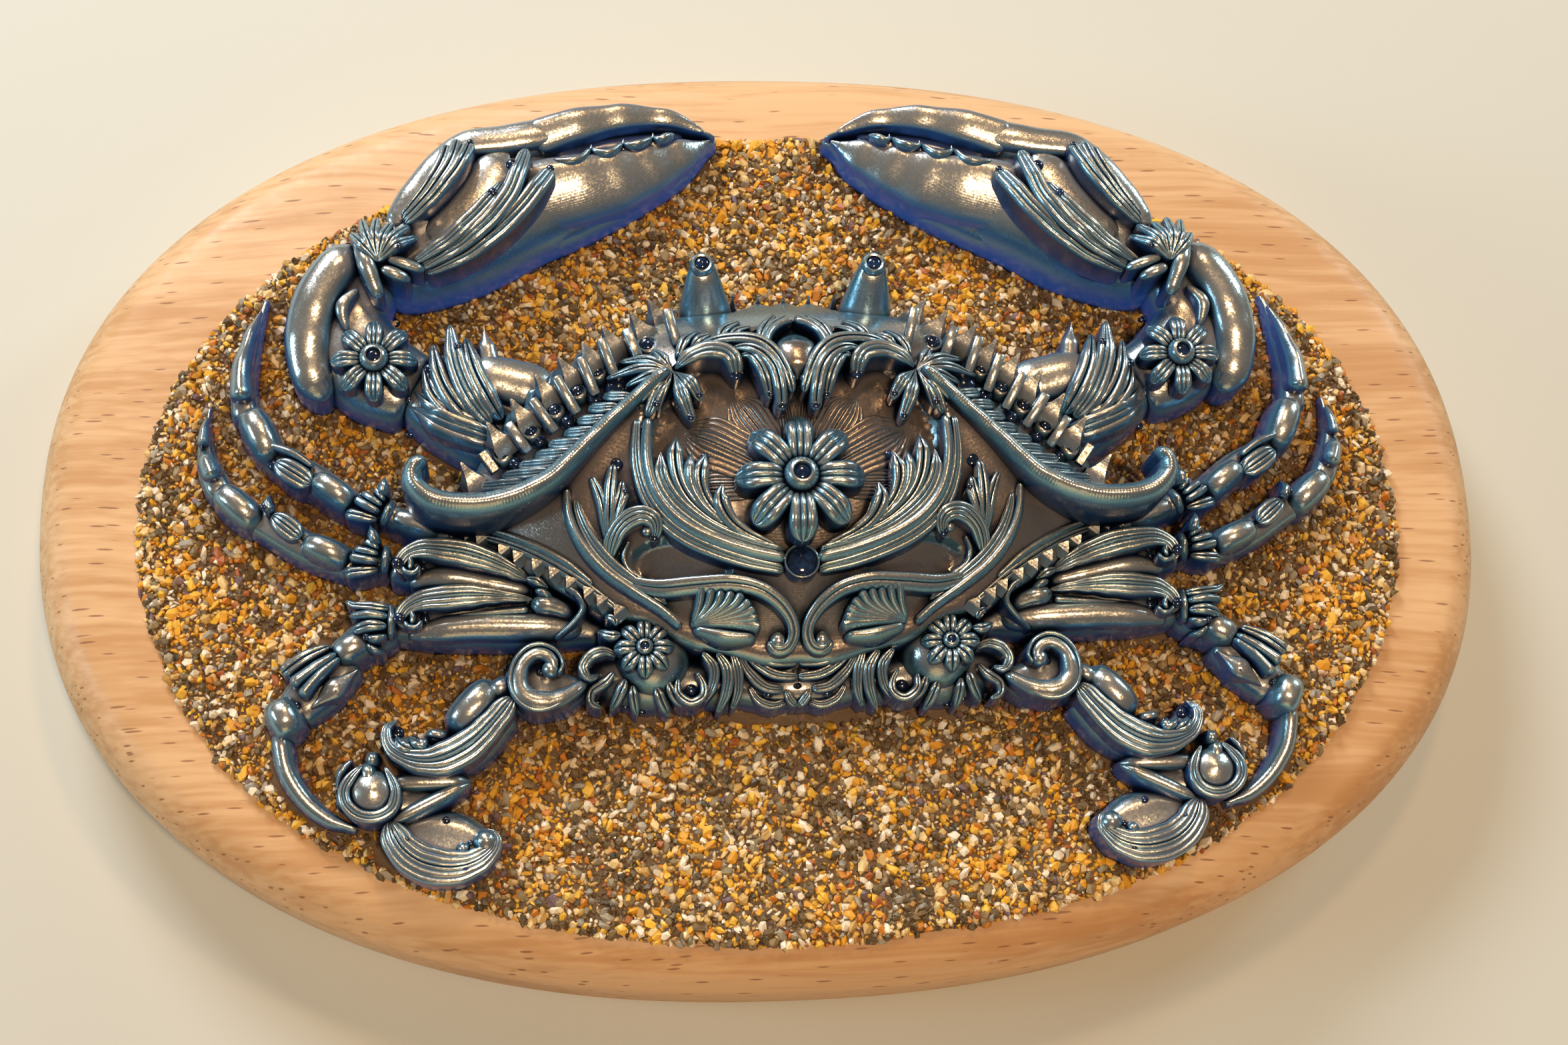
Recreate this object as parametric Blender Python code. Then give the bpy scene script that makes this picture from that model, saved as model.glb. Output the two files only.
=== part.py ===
"""Solids of an ornamental cast crab on a sanded oval board.

Metres, +Z up.  The origin is the middle of the board's underside and the crab's head points to +Y.
Shapes are laid out in millimetres around the middle of the shell at the sand's top and are placed by
`place`.  Right-hand pieces (+X) are described and the left-hand ones are their mirror images.
"""

import math

import bmesh
import bpy

MM = 0.001
GAP = 0.3  # clearance between neighbouring pieces

BOARD_HALF_LENGTH = 70.0
BOARD_HALF_WIDTH = 46.4
BOARD_THICKNESS = 14.0
BOARD_SQUARENESS = 2.25  # exponent of the superellipse
BOARD_EDGE = [(1.6, 0.0), (0.5, 0.6), (0.0, 1.8), (0.0, 8.6), (0.5, 10.8), (1.6, 12.6), (3.2, 13.7), (5.0, 14.0)]

SAND_HALF_LENGTH = 60.4
SAND_HALF_WIDTH = 40.2
SAND_SQUARENESS = 2.15
SAND_CENTRE_Y = 0.4
SAND_THICKNESS = 0.9

CRAB_OFFSET_Y = -3.0  # the shell's middle lies this far behind the board's
CRAB_OFFSET_Z = BOARD_THICKNESS + GAP + SAND_THICKNESS

SHELL_RIM = 4.2
SHELL_CROWN = 15.6
SHELL_RIDGE_Y = 6.0
SHELL_HALF_SPAN = 33.0
SHELL_FRONT_REACH = 15.5
SHELL_REAR_REACH = 24.0
SHELL_SWELL = 1.15
SHELL_WALL_EASE = 0.8  # how far the rim is rounded off
SHELL_RINGS = (1.0, 0.97, 0.86, 0.7, 0.5, 0.28)
SHELL_CORE = (25.0, 13.0)  # the inner rings relax to this ellipse
SHELL_HUB_Y = 3.0

FRONT_TEETH_X = (0.0, 2.5)
FRONT_TOOTH_TIP_Y = 19.9
FRONT_TOOTH_ROOT_Y = 18.7
SPIKE_COUNT = 7
SPIKE_ROW = ((12.4, 17.2), (28.4, 5.0))  # ends of the row of spikes along the front edge
SPIKE_ROW_BULGE = 1.3
SPIKE_LENGTH = 1.1

SHELL_SIDE = [
    (29.6, 3.0), (30.0, 0.5), (30.2, -2.8), (26.8, -5.2), (23.4, -6.9), (20.6, -8.4), (17.9, -10.1),
    (15.9, -10.9), (14.0, -11.2), (11.6, -12.6), (9.4, -13.6), (6.0, -14.3), (3.0, -15.2), (0.0, -15.0),
]

SECTION_POINTS = 8  # points on the arched top of a limb's cross-section
SECTION_SHOULDER = 0.62  # below 1 the arch has square shoulders

LUSTRE = (0.16, 0.22, 0.30)
RESIN = (0.03, 0.10, 0.42)
BEECH = (0.74, 0.50, 0.31)
SAND = (0.52, 0.38, 0.20)

# Stations are (x, y, half width, top height) along the middle of a piece.
CLAW = {
    "merus": [(24.6, 7.6, 4.2, 6.0), (27.6, 9.4, 4.9, 6.8), (31.0, 11.6, 4.9, 7.2), (33.0, 12.9, 4.4, 6.8)],
    "carpus": [(35.2, 13.0, 4.0, 6.8), (38.4, 14.6, 4.7, 7.8), (41.0, 17.6, 4.9, 7.4), (41.4, 20.6, 4.3, 6.8),
               (40.2, 23.2, 3.6, 6.6)],
    "palm": [(38.3, 26.1, 3.2, 6.6), (35.9, 26.2, 4.3, 8.0), (31.6, 28.3, 5.4, 9.2), (27.2, 31.7, 5.7, 9.4),
             (23.9, 34.2, 4.7, 7.6), (22.7, 34.9, 4.1, 6.6)],
    "outer_finger": [(21.4, 37.2, 1.5, 6.2), (17.4, 38.6, 1.25, 6.2), (12.6, 39.5, 1.0, 5.6),
                     (9.4, 39.3, 0.8, 4.9), (7.2, 38.9, 0.45, 4.2)],
    "inner_finger": [(19.8, 32.3, 2.4, 6.2), (16.2, 33.6, 2.5, 6.0), (12.3, 34.9, 2.3, 5.5),
                     (8.9, 36.4, 1.5, 4.8), (6.2, 37.6, 0.5, 4.1)],
}
WALKING_LEGS = {
    "leg_1": {
        "merus": [(31.6, -1.7, 1.0, 4.8), (34.0, -0.8, 1.2, 4.8), (36.4, 0.1, 1.2, 4.8)],
        "carpus": [(37.5, 0.7, 1.5, 5.6), (38.7, 1.5, 1.8, 5.9), (39.8, 2.2, 1.4, 5.0)],
        "propodus": [(40.8, 2.6, 1.5, 4.8), (43.8, 4.6, 1.5, 4.8), (46.6, 6.6, 1.4, 4.6), (50.0, 9.2, 1.6, 4.4)],
        "dactyl": [(50.2, 10.9, 1.3, 3.9), (50.3, 14.0, 1.1, 3.2), (49.7, 18.0, 0.8, 2.3), (48.8, 21.6, 0.35, 1.8)],
    },
    "leg_2": {
        "merus": [(26.2, -6.1, 1.0, 5.6), (29.0, -5.4, 1.6, 7.0), (33.0, -4.9, 1.9, 7.4), (36.0, -4.9, 1.7, 7.0)],
        "carpus": [(37.4, -4.4, 1.5, 5.6), (38.5, -3.8, 1.8, 6.4), (39.5, -3.4, 1.4, 5.0)],
        "propodus": [(40.5, -3.2, 1.6, 4.8), (44.5, -2.2, 1.6, 4.8), (48.2, -0.2, 1.5, 4.4), (51.6, 2.0, 1.5, 4.2)],
        "dactyl": [(52.6, 3.4, 1.3, 3.8), (53.6, 5.6, 1.1, 3.2), (53.9, 8.2, 0.75, 2.4), (53.5, 10.8, 0.35, 1.8)],
    },
    "leg_3": {
        "merus": [(19.9, -10.7, 1.2, 5.0), (22.0, -10.1, 2.0, 6.0), (28.0, -9.9, 2.2, 6.8), (33.0, -9.8, 2.4, 6.2),
                  (36.8, -9.7, 2.2, 5.4)],
        "carpus": [(37.9, -9.6, 1.7, 4.6), (39.2, -9.8, 2.0, 5.0), (40.3, -10.4, 1.8, 4.6)],
        "propodus": [(41.1, -11.5, 2.3, 4.6), (43.2, -13.9, 2.8, 4.6), (44.8, -16.1, 2.3, 4.2)],
        "knuckle": [(45.5, -17.6, 1.7, 4.0), (46.0, -18.7, 1.9, 4.2), (46.2, -19.7, 1.6, 3.8)],
        "dactyl": [(46.3, -20.8, 1.5, 3.7), (45.9, -23.6, 1.4, 3.0), (43.8, -26.4, 1.1, 2.2), (41.1, -28.0, 0.5, 1.6)],
    },
}
SWIMMING_LEG = {
    "coxa": [(8.9, -16.6, 1.6, 3.6), (11.2, -16.0, 3.0, 5.6), (13.9, -14.9, 4.4, 6.6), (17.2, -14.9, 3.1, 5.4),
             (19.6, -14.4, 1.9, 3.8)],
    "merus": [(20.9, -15.6, 2.1, 5.0), (23.2, -15.8, 2.6, 6.2), (26.8, -17.2, 1.5, 4.8), (29.4, -18.4, 1.9, 5.0),
              (31.4, -19.4, 1.2, 4.0)],
    "carpus": [(26.8, -20.7, 0.9, 4.2), (29.0, -22.0, 1.4, 4.8), (32.6, -23.4, 1.5, 4.8), (35.6, -22.4, 1.3, 4.8),
               (36.7, -20.8, 1.0, 4.2)],
    "propodus": [(40.1, -26.1, 1.9, 4.2), (37.9, -26.2, 2.3, 4.7), (34.9, -26.6, 1.4, 4.0), (32.2, -26.4, 1.0, 3.4)],
    "paddle": [(38.0, -30.2, 0.8, 3.0), (36.3, -30.2, 1.7, 3.2), (33.4, -30.5, 2.7, 3.0), (30.2, -30.4, 2.9, 2.8),
               (27.6, -30.4, 2.0, 2.8)],
}
TAIL_FLAP = [(-7.2, -17.2, 1.5, 3.0), (-4.4, -17.3, 2.0, 4.0), (0.0, -17.2, 2.2, 4.6), (4.4, -17.3, 2.0, 4.0),
             (7.2, -17.2, 1.5, 3.0)]

HORN_SCROLL = [(14.2, 8.9, 0.7, 14.3), (17.6, 5.3, 0.9, 13.3), (20.9, 2.1, 1.0, 12.4), (24.3, -0.2, 1.2, 11.8),
               (28.2, -1.1, 1.4, 11.6), (31.8, -0.6, 1.5, 12.1), (33.9, 1.4, 1.4, 12.9), (32.9, 2.9, 0.8, 12.6)]
HORN_DEPTH = 1.3  # how far the scroll is let into the shell
HORN_LOWEST = 6.4

EYE_ROOT = (7.3, 16.6, 8.6)
EYE_TIP = (8.0, 21.4, 11.2)
EYE_ROOT_RADIUS = 2.4
EYE_NECK_RADIUS = 0.9
EYE_BALL_RADIUS = 1.05

ROSETTE_RADIUS = 5.0
ROSETTE_PETALS = 8
ROSETTE_THICKNESS = 1.3
ROSETTE_HUB_RADIUS = 1.6


def place(x, y, z):
    """A point laid out around the shell's middle, in the part's frame and in metres."""
    return (x * MM, (y + CRAB_OFFSET_Y) * MM, (z + CRAB_OFFSET_Z) * MM)


def clear_scene():
    for item in list(bpy.data.objects):
        bpy.data.objects.remove(item, do_unlink=True)


def new_collection(name):
    collection = bpy.data.collections.new(name)
    bpy.context.scene.collection.children.link(collection)
    return collection


def finish_material(name, colour, roughness, metallic):
    material = bpy.data.materials.new(name)
    material.use_nodes = True
    surface = material.node_tree.nodes["Principled BSDF"]
    surface.inputs["Base Color"].default_value = (*colour, 1.0)
    surface.inputs["Roughness"].default_value = roughness
    surface.inputs["Metallic"].default_value = metallic
    material.diffuse_color = (*colour, 1.0)
    return material


def cast_metal(name):
    return finish_material(name + "_lustre", LUSTRE, 0.3, 0.8)


def closed_object(name, rings, collection, material=None):
    """A closed solid from rings of points: faces between rings and a face across each end."""
    mesh = bmesh.new()
    loops = [[mesh.verts.new(point) for point in ring] for ring in rings]
    count = len(loops[0])
    for lower, upper in zip(loops, loops[1:]):
        for i in range(count):
            j = (i + 1) % count
            mesh.faces.new((lower[i], lower[j], upper[j], upper[i]))
    mesh.faces.new(list(reversed(loops[0])))
    mesh.faces.new(loops[-1])
    bmesh.ops.recalc_face_normals(mesh, faces=mesh.faces)
    data = bpy.data.meshes.new(name)
    mesh.to_mesh(data)
    mesh.free()
    item = bpy.data.objects.new(name, data)
    collection.objects.link(item)
    if material:
        data.materials.append(material)
    return item


def superellipse(half_length, half_width, squareness, count):
    """Points round an oval that is fuller than an ellipse."""
    points = []
    for i in range(count):
        angle = math.tau * i / count
        c, s = math.cos(angle), math.sin(angle)
        reach = (abs(c) ** squareness + abs(s) ** squareness) ** (-1.0 / squareness)
        points.append((half_length * reach * c, half_width * reach * s))
    return points


def stadium(half_length, half_width, squareness, profile, base_z, centre_y, count):
    """Rings of an oval slab whose edge follows a profile of (inset, height)."""
    rings = []
    for inset, height in profile:
        outline = superellipse(half_length - inset, half_width - inset, squareness, count)
        rings.append([(x * MM, (y + centre_y) * MM, (base_z + height) * MM) for x, y in outline])
    return rings


def spline(stations, samples):
    """Catmull-Rom values between stations, with `samples` steps from each station to the next."""
    result = []
    last = len(stations) - 1
    for i in range(last):
        before, start = stations[max(i - 1, 0)], stations[i]
        end, after = stations[i + 1], stations[min(i + 2, last)]
        for step in range(samples):
            t = step / samples
            result.append(tuple(
                0.5 * (2 * b + (c - a) * t + (2 * a - 5 * b + 4 * c - d) * t * t
                       + (3 * b - a - 3 * c + d) * t ** 3)
                for a, b, c, d in zip(before, start, end, after)
            ))
    result.append(tuple(stations[-1]))
    return result


def eased_ends(stations, ease, shrink):
    """The stations with one more at each end, set out by `ease`, where the section shrinks."""
    def beyond(end, neighbour):
        dx, dy = end[0] - neighbour[0], end[1] - neighbour[1]
        length = math.hypot(dx, dy)
        return (end[0] + dx / length * ease, end[1] + dy / length * ease, end[2] * shrink,
                end[3] * (0.6 + 0.4 * shrink))
    return [beyond(stations[0], stations[1])] + stations + [beyond(stations[-1], stations[-2])]


def arch(half_width, base, top):
    """The arched outline of a cross-section as (sideways, height), from one foot to the other."""
    points = []
    for i in range(SECTION_POINTS):
        angle = math.pi * i / (SECTION_POINTS - 1)
        c, s = math.cos(angle), math.sin(angle)
        across = half_width * math.copysign(abs(c) ** SECTION_SHOULDER, c)
        points.append((across, base + (top - base) * abs(s) ** SECTION_SHOULDER))
    return points


def limb(name, stations, collection, samples=2, base=lambda x, y: GAP, mirrored=False, grow=0.0,
         shrink=0.72):
    """A flat-bottomed, round-topped length of limb that follows its stations."""
    path = eased_ends(spline(stations, samples), 0.35 + grow, shrink)
    side = -1.0 if mirrored else 1.0
    rings = []
    for i, (x, y, half_width, top) in enumerate(path):
        ahead, behind = path[min(i + 1, len(path) - 1)], path[max(i - 1, 0)]
        dx, dy = ahead[0] - behind[0], ahead[1] - behind[1]
        length = math.hypot(dx, dy)
        normal = (-dy / length, dx / length)
        outline = arch(half_width + grow, base(x, y) - grow, top + grow)
        rings.append([place(side * (x + across * normal[0]), y + across * normal[1], z)
                      for across, z in outline])
    return closed_object(name, rings, collection, None if grow else cast_metal(name))


def shell_height(x, y):
    """Height of the shell's vaulted top above the sand."""
    across = (x / SHELL_HALF_SPAN) ** 2
    if y > SHELL_RIDGE_Y:
        along = ((y - SHELL_RIDGE_Y) / SHELL_FRONT_REACH) ** 3
    else:
        along = ((SHELL_RIDGE_Y - y) / SHELL_REAR_REACH) ** 2
    return SHELL_RIM + (SHELL_CROWN - SHELL_RIM) * max(0.0, 1.0 - across - along) ** SHELL_SWELL


def front_teeth():
    """Half of the toothed front edge, from the middle tooth outwards."""
    points = []
    for x in FRONT_TEETH_X:
        points += [(x, FRONT_TOOTH_TIP_Y - 0.1 * x), (x + 1.25, FRONT_TOOTH_ROOT_Y - 0.1 * x)]
    return points


def spike_row():
    """Tips and notches of the spikes along the front edge, from the eye to the horn."""
    (x0, y0), (x1, y1) = SPIKE_ROW
    length = math.hypot(x1 - x0, y1 - y0)
    outward = ((y0 - y1) / length, (x1 - x0) / length)
    points = []
    for i in range(2 * SPIKE_COUNT + 1):
        t = i / (2 * SPIKE_COUNT)
        reach = SPIKE_ROW_BULGE * math.sin(math.pi * t) + (SPIKE_LENGTH if i % 2 else 0.0)
        points.append((x0 + (x1 - x0) * t + outward[0] * reach, y0 + (y1 - y0) * t + outward[1] * reach))
    return points


def shell_outline(grow=0.0):
    half = front_teeth() + [(5.2, 17.6), (9.9, 17.4)] + spike_row() + SHELL_SIDE
    left = [(-x, y) for x, y in reversed(half) if x > 0.0]
    points = half + left
    if not grow:
        return points
    grown = []
    for x, y in points:
        length = math.hypot(x, y - SHELL_HUB_Y)
        factor = 1.0 + grow / length
        grown.append((x * factor, SHELL_HUB_Y + (y - SHELL_HUB_Y) * factor))
    return grown


def relaxed(point, fraction):
    """A rim point drawn in towards the hub, easing from the rim's shape to a plain ellipse."""
    dx, dy = point[0], point[1] - SHELL_HUB_Y
    rim = math.hypot(dx, dy)
    c, s = dx / rim, dy / rim
    core = 1.0 / math.hypot(c / SHELL_CORE[0], s / SHELL_CORE[1])
    reach = fraction * (core + (rim - core) * fraction ** 2)
    return (c * reach, SHELL_HUB_Y + s * reach)


def make_shell(collection):
    outline = shell_outline()
    rings = [[place(x, y, GAP) for x, y in outline]]
    for fraction in SHELL_RINGS:
        ease = SHELL_WALL_EASE if fraction == 1.0 else 0.0
        ring = [relaxed(point, fraction) for point in outline]
        rings.append([place(x, y, shell_height(x, y) - ease) for x, y in ring])
    return closed_object("carapace", rings, collection, cast_metal("carapace"))


def cut(item, cutter):
    modifier = item.modifiers.new("clearance", "BOOLEAN")
    modifier.operation = "DIFFERENCE"
    modifier.solver = "EXACT"
    modifier.object = cutter


def horn_base(x, y):
    return max(shell_height(x, y) - HORN_DEPTH, HORN_LOWEST)


def make_eye(name, collection, side):
    """An eye stalk as a cone that leans forward, with a ball at its tip."""
    (x0, y0, z0), (x1, y1, z1) = EYE_ROOT, EYE_TIP
    lean = (x1 - x0, y1 - y0, z1 - z0)
    length = math.sqrt(sum(v * v for v in lean))
    lift = (-lean[1] * lean[2] / length ** 2, 1.0)
    ball = [(length + EYE_BALL_RADIUS * (0.55 - math.cos(a)), EYE_BALL_RADIUS * math.sin(a))
            for a in (math.radians(v) for v in (60.0, 95.0, 130.0, 165.0))]
    profile = [(0.0, EYE_ROOT_RADIUS), (0.45 * length, 0.74 * EYE_ROOT_RADIUS),
               (0.93 * length, EYE_NECK_RADIUS)] + ball
    rings = []
    for along, radius in profile:
        t = along / length
        ring = []
        for i in range(12):
            angle = math.tau * i / 12
            across, up = radius * math.cos(angle), radius * math.sin(angle)
            ring.append(place(side * (x0 + lean[0] * t + across), y0 + lean[1] * t + up * lift[0],
                              z0 + lean[2] * t + up * lift[1]))
        rings.append(ring)
    return closed_object(name, rings, collection, cast_metal(name))


def make_rosette(collection):
    """The flower on the shell's middle: a lobed disc with a raised hub."""
    base = shell_height(0.0, 0.0) + 0.1
    top = base + ROSETTE_THICKNESS
    steps = ROSETTE_PETALS * 4
    levels = [(1.0, base), (1.0, base + 0.5 * ROSETTE_THICKNESS), (0.8, top - 0.2), (0.34, top - 0.45),
              (0.32, top), (0.2, top)]
    rings = []
    for scale, z in levels:
        ring = []
        for i in range(steps):
            angle = math.tau * i / steps
            lobe = 0.84 + 0.16 * abs(math.cos(ROSETTE_PETALS * angle / 2)) ** 0.5 if scale > 0.4 else 1.0
            reach = ROSETTE_RADIUS * scale * lobe
            ring.append(place(-reach * math.sin(angle), reach * math.cos(angle), z))
        rings.append(ring)
    return closed_object("centre_rosette", rings, collection, cast_metal("centre_rosette"))


def make_rosette_seat(collection):
    """A round cutter that leaves a flat seat under the rosette."""
    seat = bpy.data.meshes.new("rosette_seat")
    mesh = bmesh.new()
    bmesh.ops.create_cone(mesh, cap_ends=True, segments=32, radius1=(ROSETTE_RADIUS + GAP) * MM,
                          radius2=(ROSETTE_RADIUS + GAP) * MM, depth=6.0 * MM)
    mesh.to_mesh(seat)
    mesh.free()
    item = bpy.data.objects.new("rosette_seat", seat)
    item.location = place(0.0, 0.0, shell_height(0.0, 0.0) + 0.1 - GAP + 3.0)
    collection.objects.link(item)
    return item


def hide_cutters(collection):
    for item in collection.objects:
        item.hide_render = True
        item.hide_viewport = True


def make_base(collection):
    board = stadium(BOARD_HALF_LENGTH, BOARD_HALF_WIDTH, BOARD_SQUARENESS, BOARD_EDGE, 0.0, 0.0, 56)
    closed_object("base_board", board, collection, finish_material("beech", BEECH, 0.55, 0.0))
    edge = [(0.4, 0.0), (0.0, 0.35), (0.9, SAND_THICKNESS)]
    bed = stadium(SAND_HALF_LENGTH, SAND_HALF_WIDTH, SAND_SQUARENESS, edge, BOARD_THICKNESS + GAP,
                  SAND_CENTRE_Y + CRAB_OFFSET_Y, 52)
    closed_object("sand_bed", bed, collection, finish_material("coarse_sand", SAND, 0.9, 0.0))


def make_limbs(collection, shell_gap):
    for mirrored, side in ((False, "right"), (True, "left")):
        for segment, stations in CLAW.items():
            item = limb(f"claw_{segment}_{side}", stations, collection, mirrored=mirrored)
            if segment == "merus":
                cut(item, shell_gap)
        for leg, segments in WALKING_LEGS.items():
            for segment, stations in segments.items():
                item = limb(f"{leg}_{segment}_{side}", stations, collection, samples=1 + (len(stations) < 4),
                            mirrored=mirrored)
                if segment == "merus":
                    cut(item, shell_gap)
        for segment, stations in SWIMMING_LEG.items():
            item = limb(f"swimming_leg_{segment}_{side}", stations, collection, mirrored=mirrored)
            if segment == "coxa":
                cut(item, shell_gap)


def main():
    clear_scene()
    crab = new_collection("ornamental_crab")
    cutters = new_collection("cutters")
    make_base(crab)
    shell = make_shell(crab)
    grown = shell_outline(grow=3 * GAP)
    shell_gap = closed_object("shell_gap", [[place(x, y, z) for x, y in grown] for z in (-1.0, 20.0)], cutters)
    for mirrored, side in ((False, "right"), (True, "left")):
        limb(f"horn_scroll_{side}", HORN_SCROLL, crab, base=horn_base, mirrored=mirrored)
        cut(shell, limb(f"horn_gap_{side}", HORN_SCROLL, cutters, base=horn_base, mirrored=mirrored, grow=1.3 * GAP))
        cut(make_eye(f"eye_{side}", crab, -1.0 if mirrored else 1.0), shell_gap)
    cut(shell, make_rosette_seat(cutters))
    make_rosette(crab)
    cut(limb("tail_flap", TAIL_FLAP, crab), shell_gap)
    make_limbs(crab, shell_gap)
    hide_cutters(cutters)


main()
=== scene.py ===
"""Looks of an ornamental crab, cast in lustred blue resin, on a sanded oval beech board.

Pieces are laid out in millimetres around the middle of the shell, at the sand's top, with the crab's
head to +Y, and are moved into the frame when they are finished.  Right-hand pieces (+X) are carved, and
the left-hand ones are their mirror images.
"""

import logging
import math
import random
import sys
from dataclasses import dataclass
from enum import Enum
from functools import partial
from typing import Callable, Iterable, Sequence

import bmesh
import bpy
from mathutils import Matrix, Vector
from mathutils.bvhtree import BVHTree

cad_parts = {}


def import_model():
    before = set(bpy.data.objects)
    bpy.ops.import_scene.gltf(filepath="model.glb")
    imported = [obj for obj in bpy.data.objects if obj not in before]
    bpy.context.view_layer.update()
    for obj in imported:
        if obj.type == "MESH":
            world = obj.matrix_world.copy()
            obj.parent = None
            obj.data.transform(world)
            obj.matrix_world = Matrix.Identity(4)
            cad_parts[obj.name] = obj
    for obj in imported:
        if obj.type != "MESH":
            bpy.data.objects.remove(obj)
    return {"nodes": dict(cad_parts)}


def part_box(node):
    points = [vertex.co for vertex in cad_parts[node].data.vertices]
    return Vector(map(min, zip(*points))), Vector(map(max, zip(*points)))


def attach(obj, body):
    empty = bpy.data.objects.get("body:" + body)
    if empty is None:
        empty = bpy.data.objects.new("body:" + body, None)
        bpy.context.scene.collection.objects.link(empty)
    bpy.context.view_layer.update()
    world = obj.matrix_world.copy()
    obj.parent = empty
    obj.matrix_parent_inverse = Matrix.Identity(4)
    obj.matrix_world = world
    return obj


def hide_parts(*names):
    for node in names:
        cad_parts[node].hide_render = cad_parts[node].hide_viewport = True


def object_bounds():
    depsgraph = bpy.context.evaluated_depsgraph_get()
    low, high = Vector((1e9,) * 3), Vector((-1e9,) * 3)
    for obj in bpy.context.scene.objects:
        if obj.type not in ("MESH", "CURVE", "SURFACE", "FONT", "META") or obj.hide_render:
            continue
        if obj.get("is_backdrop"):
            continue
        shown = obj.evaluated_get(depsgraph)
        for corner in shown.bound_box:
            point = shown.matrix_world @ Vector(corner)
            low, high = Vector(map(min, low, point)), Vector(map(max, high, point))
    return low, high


LOG = logging.getLogger("crab")
MM = 0.001
SAND_FOOT = -0.3  # how deep the casting stands in the sand
SEAT = 0.1  # how far the edges of a stroke at fixed heights stand above them
SKY = 60.0  # a height above everything

Object = bpy.types.Object
Socket = bpy.types.NodeSocket
Material = bpy.types.Material
Point2 = tuple[float, float]
Point3 = tuple[float, float, float]
Profile = tuple[float, ...]
Ground = Callable[[float, float], float]


class Side(Enum):
    """A hand of the crab, with the sign of its X."""

    RIGHT = 1
    LEFT = -1

    @property
    def word(self) -> str:
        """The side's name in lower case."""
        return self.name.lower()


class Tip(Enum):
    """How a carved stroke ends."""

    ROUND = "round"
    POINTED = "pointed"


# --- Node trees ---


class Graph:
    """A node tree with short calls that add nodes and join them."""

    def __init__(self, tree: bpy.types.NodeTree) -> None:
        """Wraps an existing tree."""
        self.tree = tree

    def node(self, kind: str, inputs: dict | None = None, **properties: object) -> bpy.types.Node:
        """Adds a node.

        Args:
            kind: The node's type name.
            inputs: Values or sockets for its inputs, by index or name.
            **properties: Properties set on the node before its inputs.

        Returns:
            The new node.
        """
        node = self.tree.nodes.new(kind)
        for key, value in properties.items():
            setattr(node, key, value)
        self.feed(node, inputs or {})
        return node

    def feed(self, node: bpy.types.Node, inputs: dict) -> None:
        """Sets a node's inputs to values, or links them to sockets.

        Args:
            node: The node.
            inputs: Values or sockets, by index or name.
        """
        for key, value in inputs.items():
            if isinstance(value, Socket):
                self.tree.links.new(value, node.inputs[key])
            else:
                node.inputs[key].default_value = value

    def out(self, kind: str, inputs: dict | None = None, **properties: object) -> Socket:
        """Adds a node and returns its first output."""
        return self.node(kind, inputs, **properties).outputs[0]

    def math(self, operation: str, *values: object, clamp: bool = False) -> Socket:
        """A math node's result, in a shader or a geometry tree."""
        return self.out("ShaderNodeMath", dict(enumerate(values)), operation=operation, use_clamp=clamp)

    def vector(self, operation: str, *values: object) -> Socket:
        """A vector math node's result."""
        slots = (0, 3) if operation == "SCALE" else (0, 1)
        return self.out("ShaderNodeVectorMath", dict(zip(slots, values)), operation=operation)

    def ramp(self, value: object, low: float, high: float, to_low: float = 0.0,
             to_high: float = 1.0) -> Socket:
        """A clamped, smooth change from `to_low` to `to_high` as the value goes from low to high."""
        return self.out("ShaderNodeMapRange", {0: value, 1: low, 2: high, 3: to_low, 4: to_high},
                        interpolation_type="SMOOTHSTEP")

    def mix(self, factor: object, first: object, second: object) -> Socket:
        """A colour between two colours."""
        node = self.node("ShaderNodeMix", {0: factor, 6: first, 7: second}, data_type="RGBA")
        return node.outputs[2]

    def named(self, name: str, kind: str = "FLOAT") -> Socket:
        """A named attribute read in a geometry tree."""
        return self.out("GeometryNodeInputNamedAttribute", {0: name}, data_type=kind)

    def store(self, geometry: object, name: str, value: object, kind: str = "FLOAT",
              domain: str = "POINT") -> Socket:
        """Stores a named attribute and returns the geometry."""
        return self.out("GeometryNodeStoreNamedAttribute", {0: geometry, 2: name, 3: value}, data_type=kind,
                        domain=domain)


def geometry_tree(name: str, inputs: Sequence[tuple[str, str]]) -> tuple[Graph, Sequence[Socket]]:
    """A geometry tree with a geometry input and output and more named inputs.

    Args:
        name: The tree's name.
        inputs: Names and socket types of the inputs after Geometry.

    Returns:
        The graph and its inputs, which are read by name.
    """
    tree = bpy.data.node_groups.new(name, "GeometryNodeTree")
    tree.is_modifier = True
    tree.interface.new_socket("Geometry", in_out="INPUT", socket_type="NodeSocketGeometry")
    for label, kind in inputs:
        tree.interface.new_socket(label, in_out="INPUT", socket_type=kind)
    tree.interface.new_socket("Geometry", in_out="OUTPUT", socket_type="NodeSocketGeometry")
    graph = Graph(tree)
    return graph, graph.node("NodeGroupInput").outputs


def close_tree(graph: Graph, geometry: Socket, material: Socket) -> None:
    """Ends a geometry tree in Realize Instances and Set Material.

    Args:
        graph: The tree's graph.
        geometry: What it makes.
        material: The finish.
    """
    realized = graph.out("GeometryNodeRealizeInstances", {0: geometry})
    dressed = graph.out("GeometryNodeSetMaterial", {0: realized, 2: material})
    graph.node("NodeGroupOutput", {0: dressed})


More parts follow.
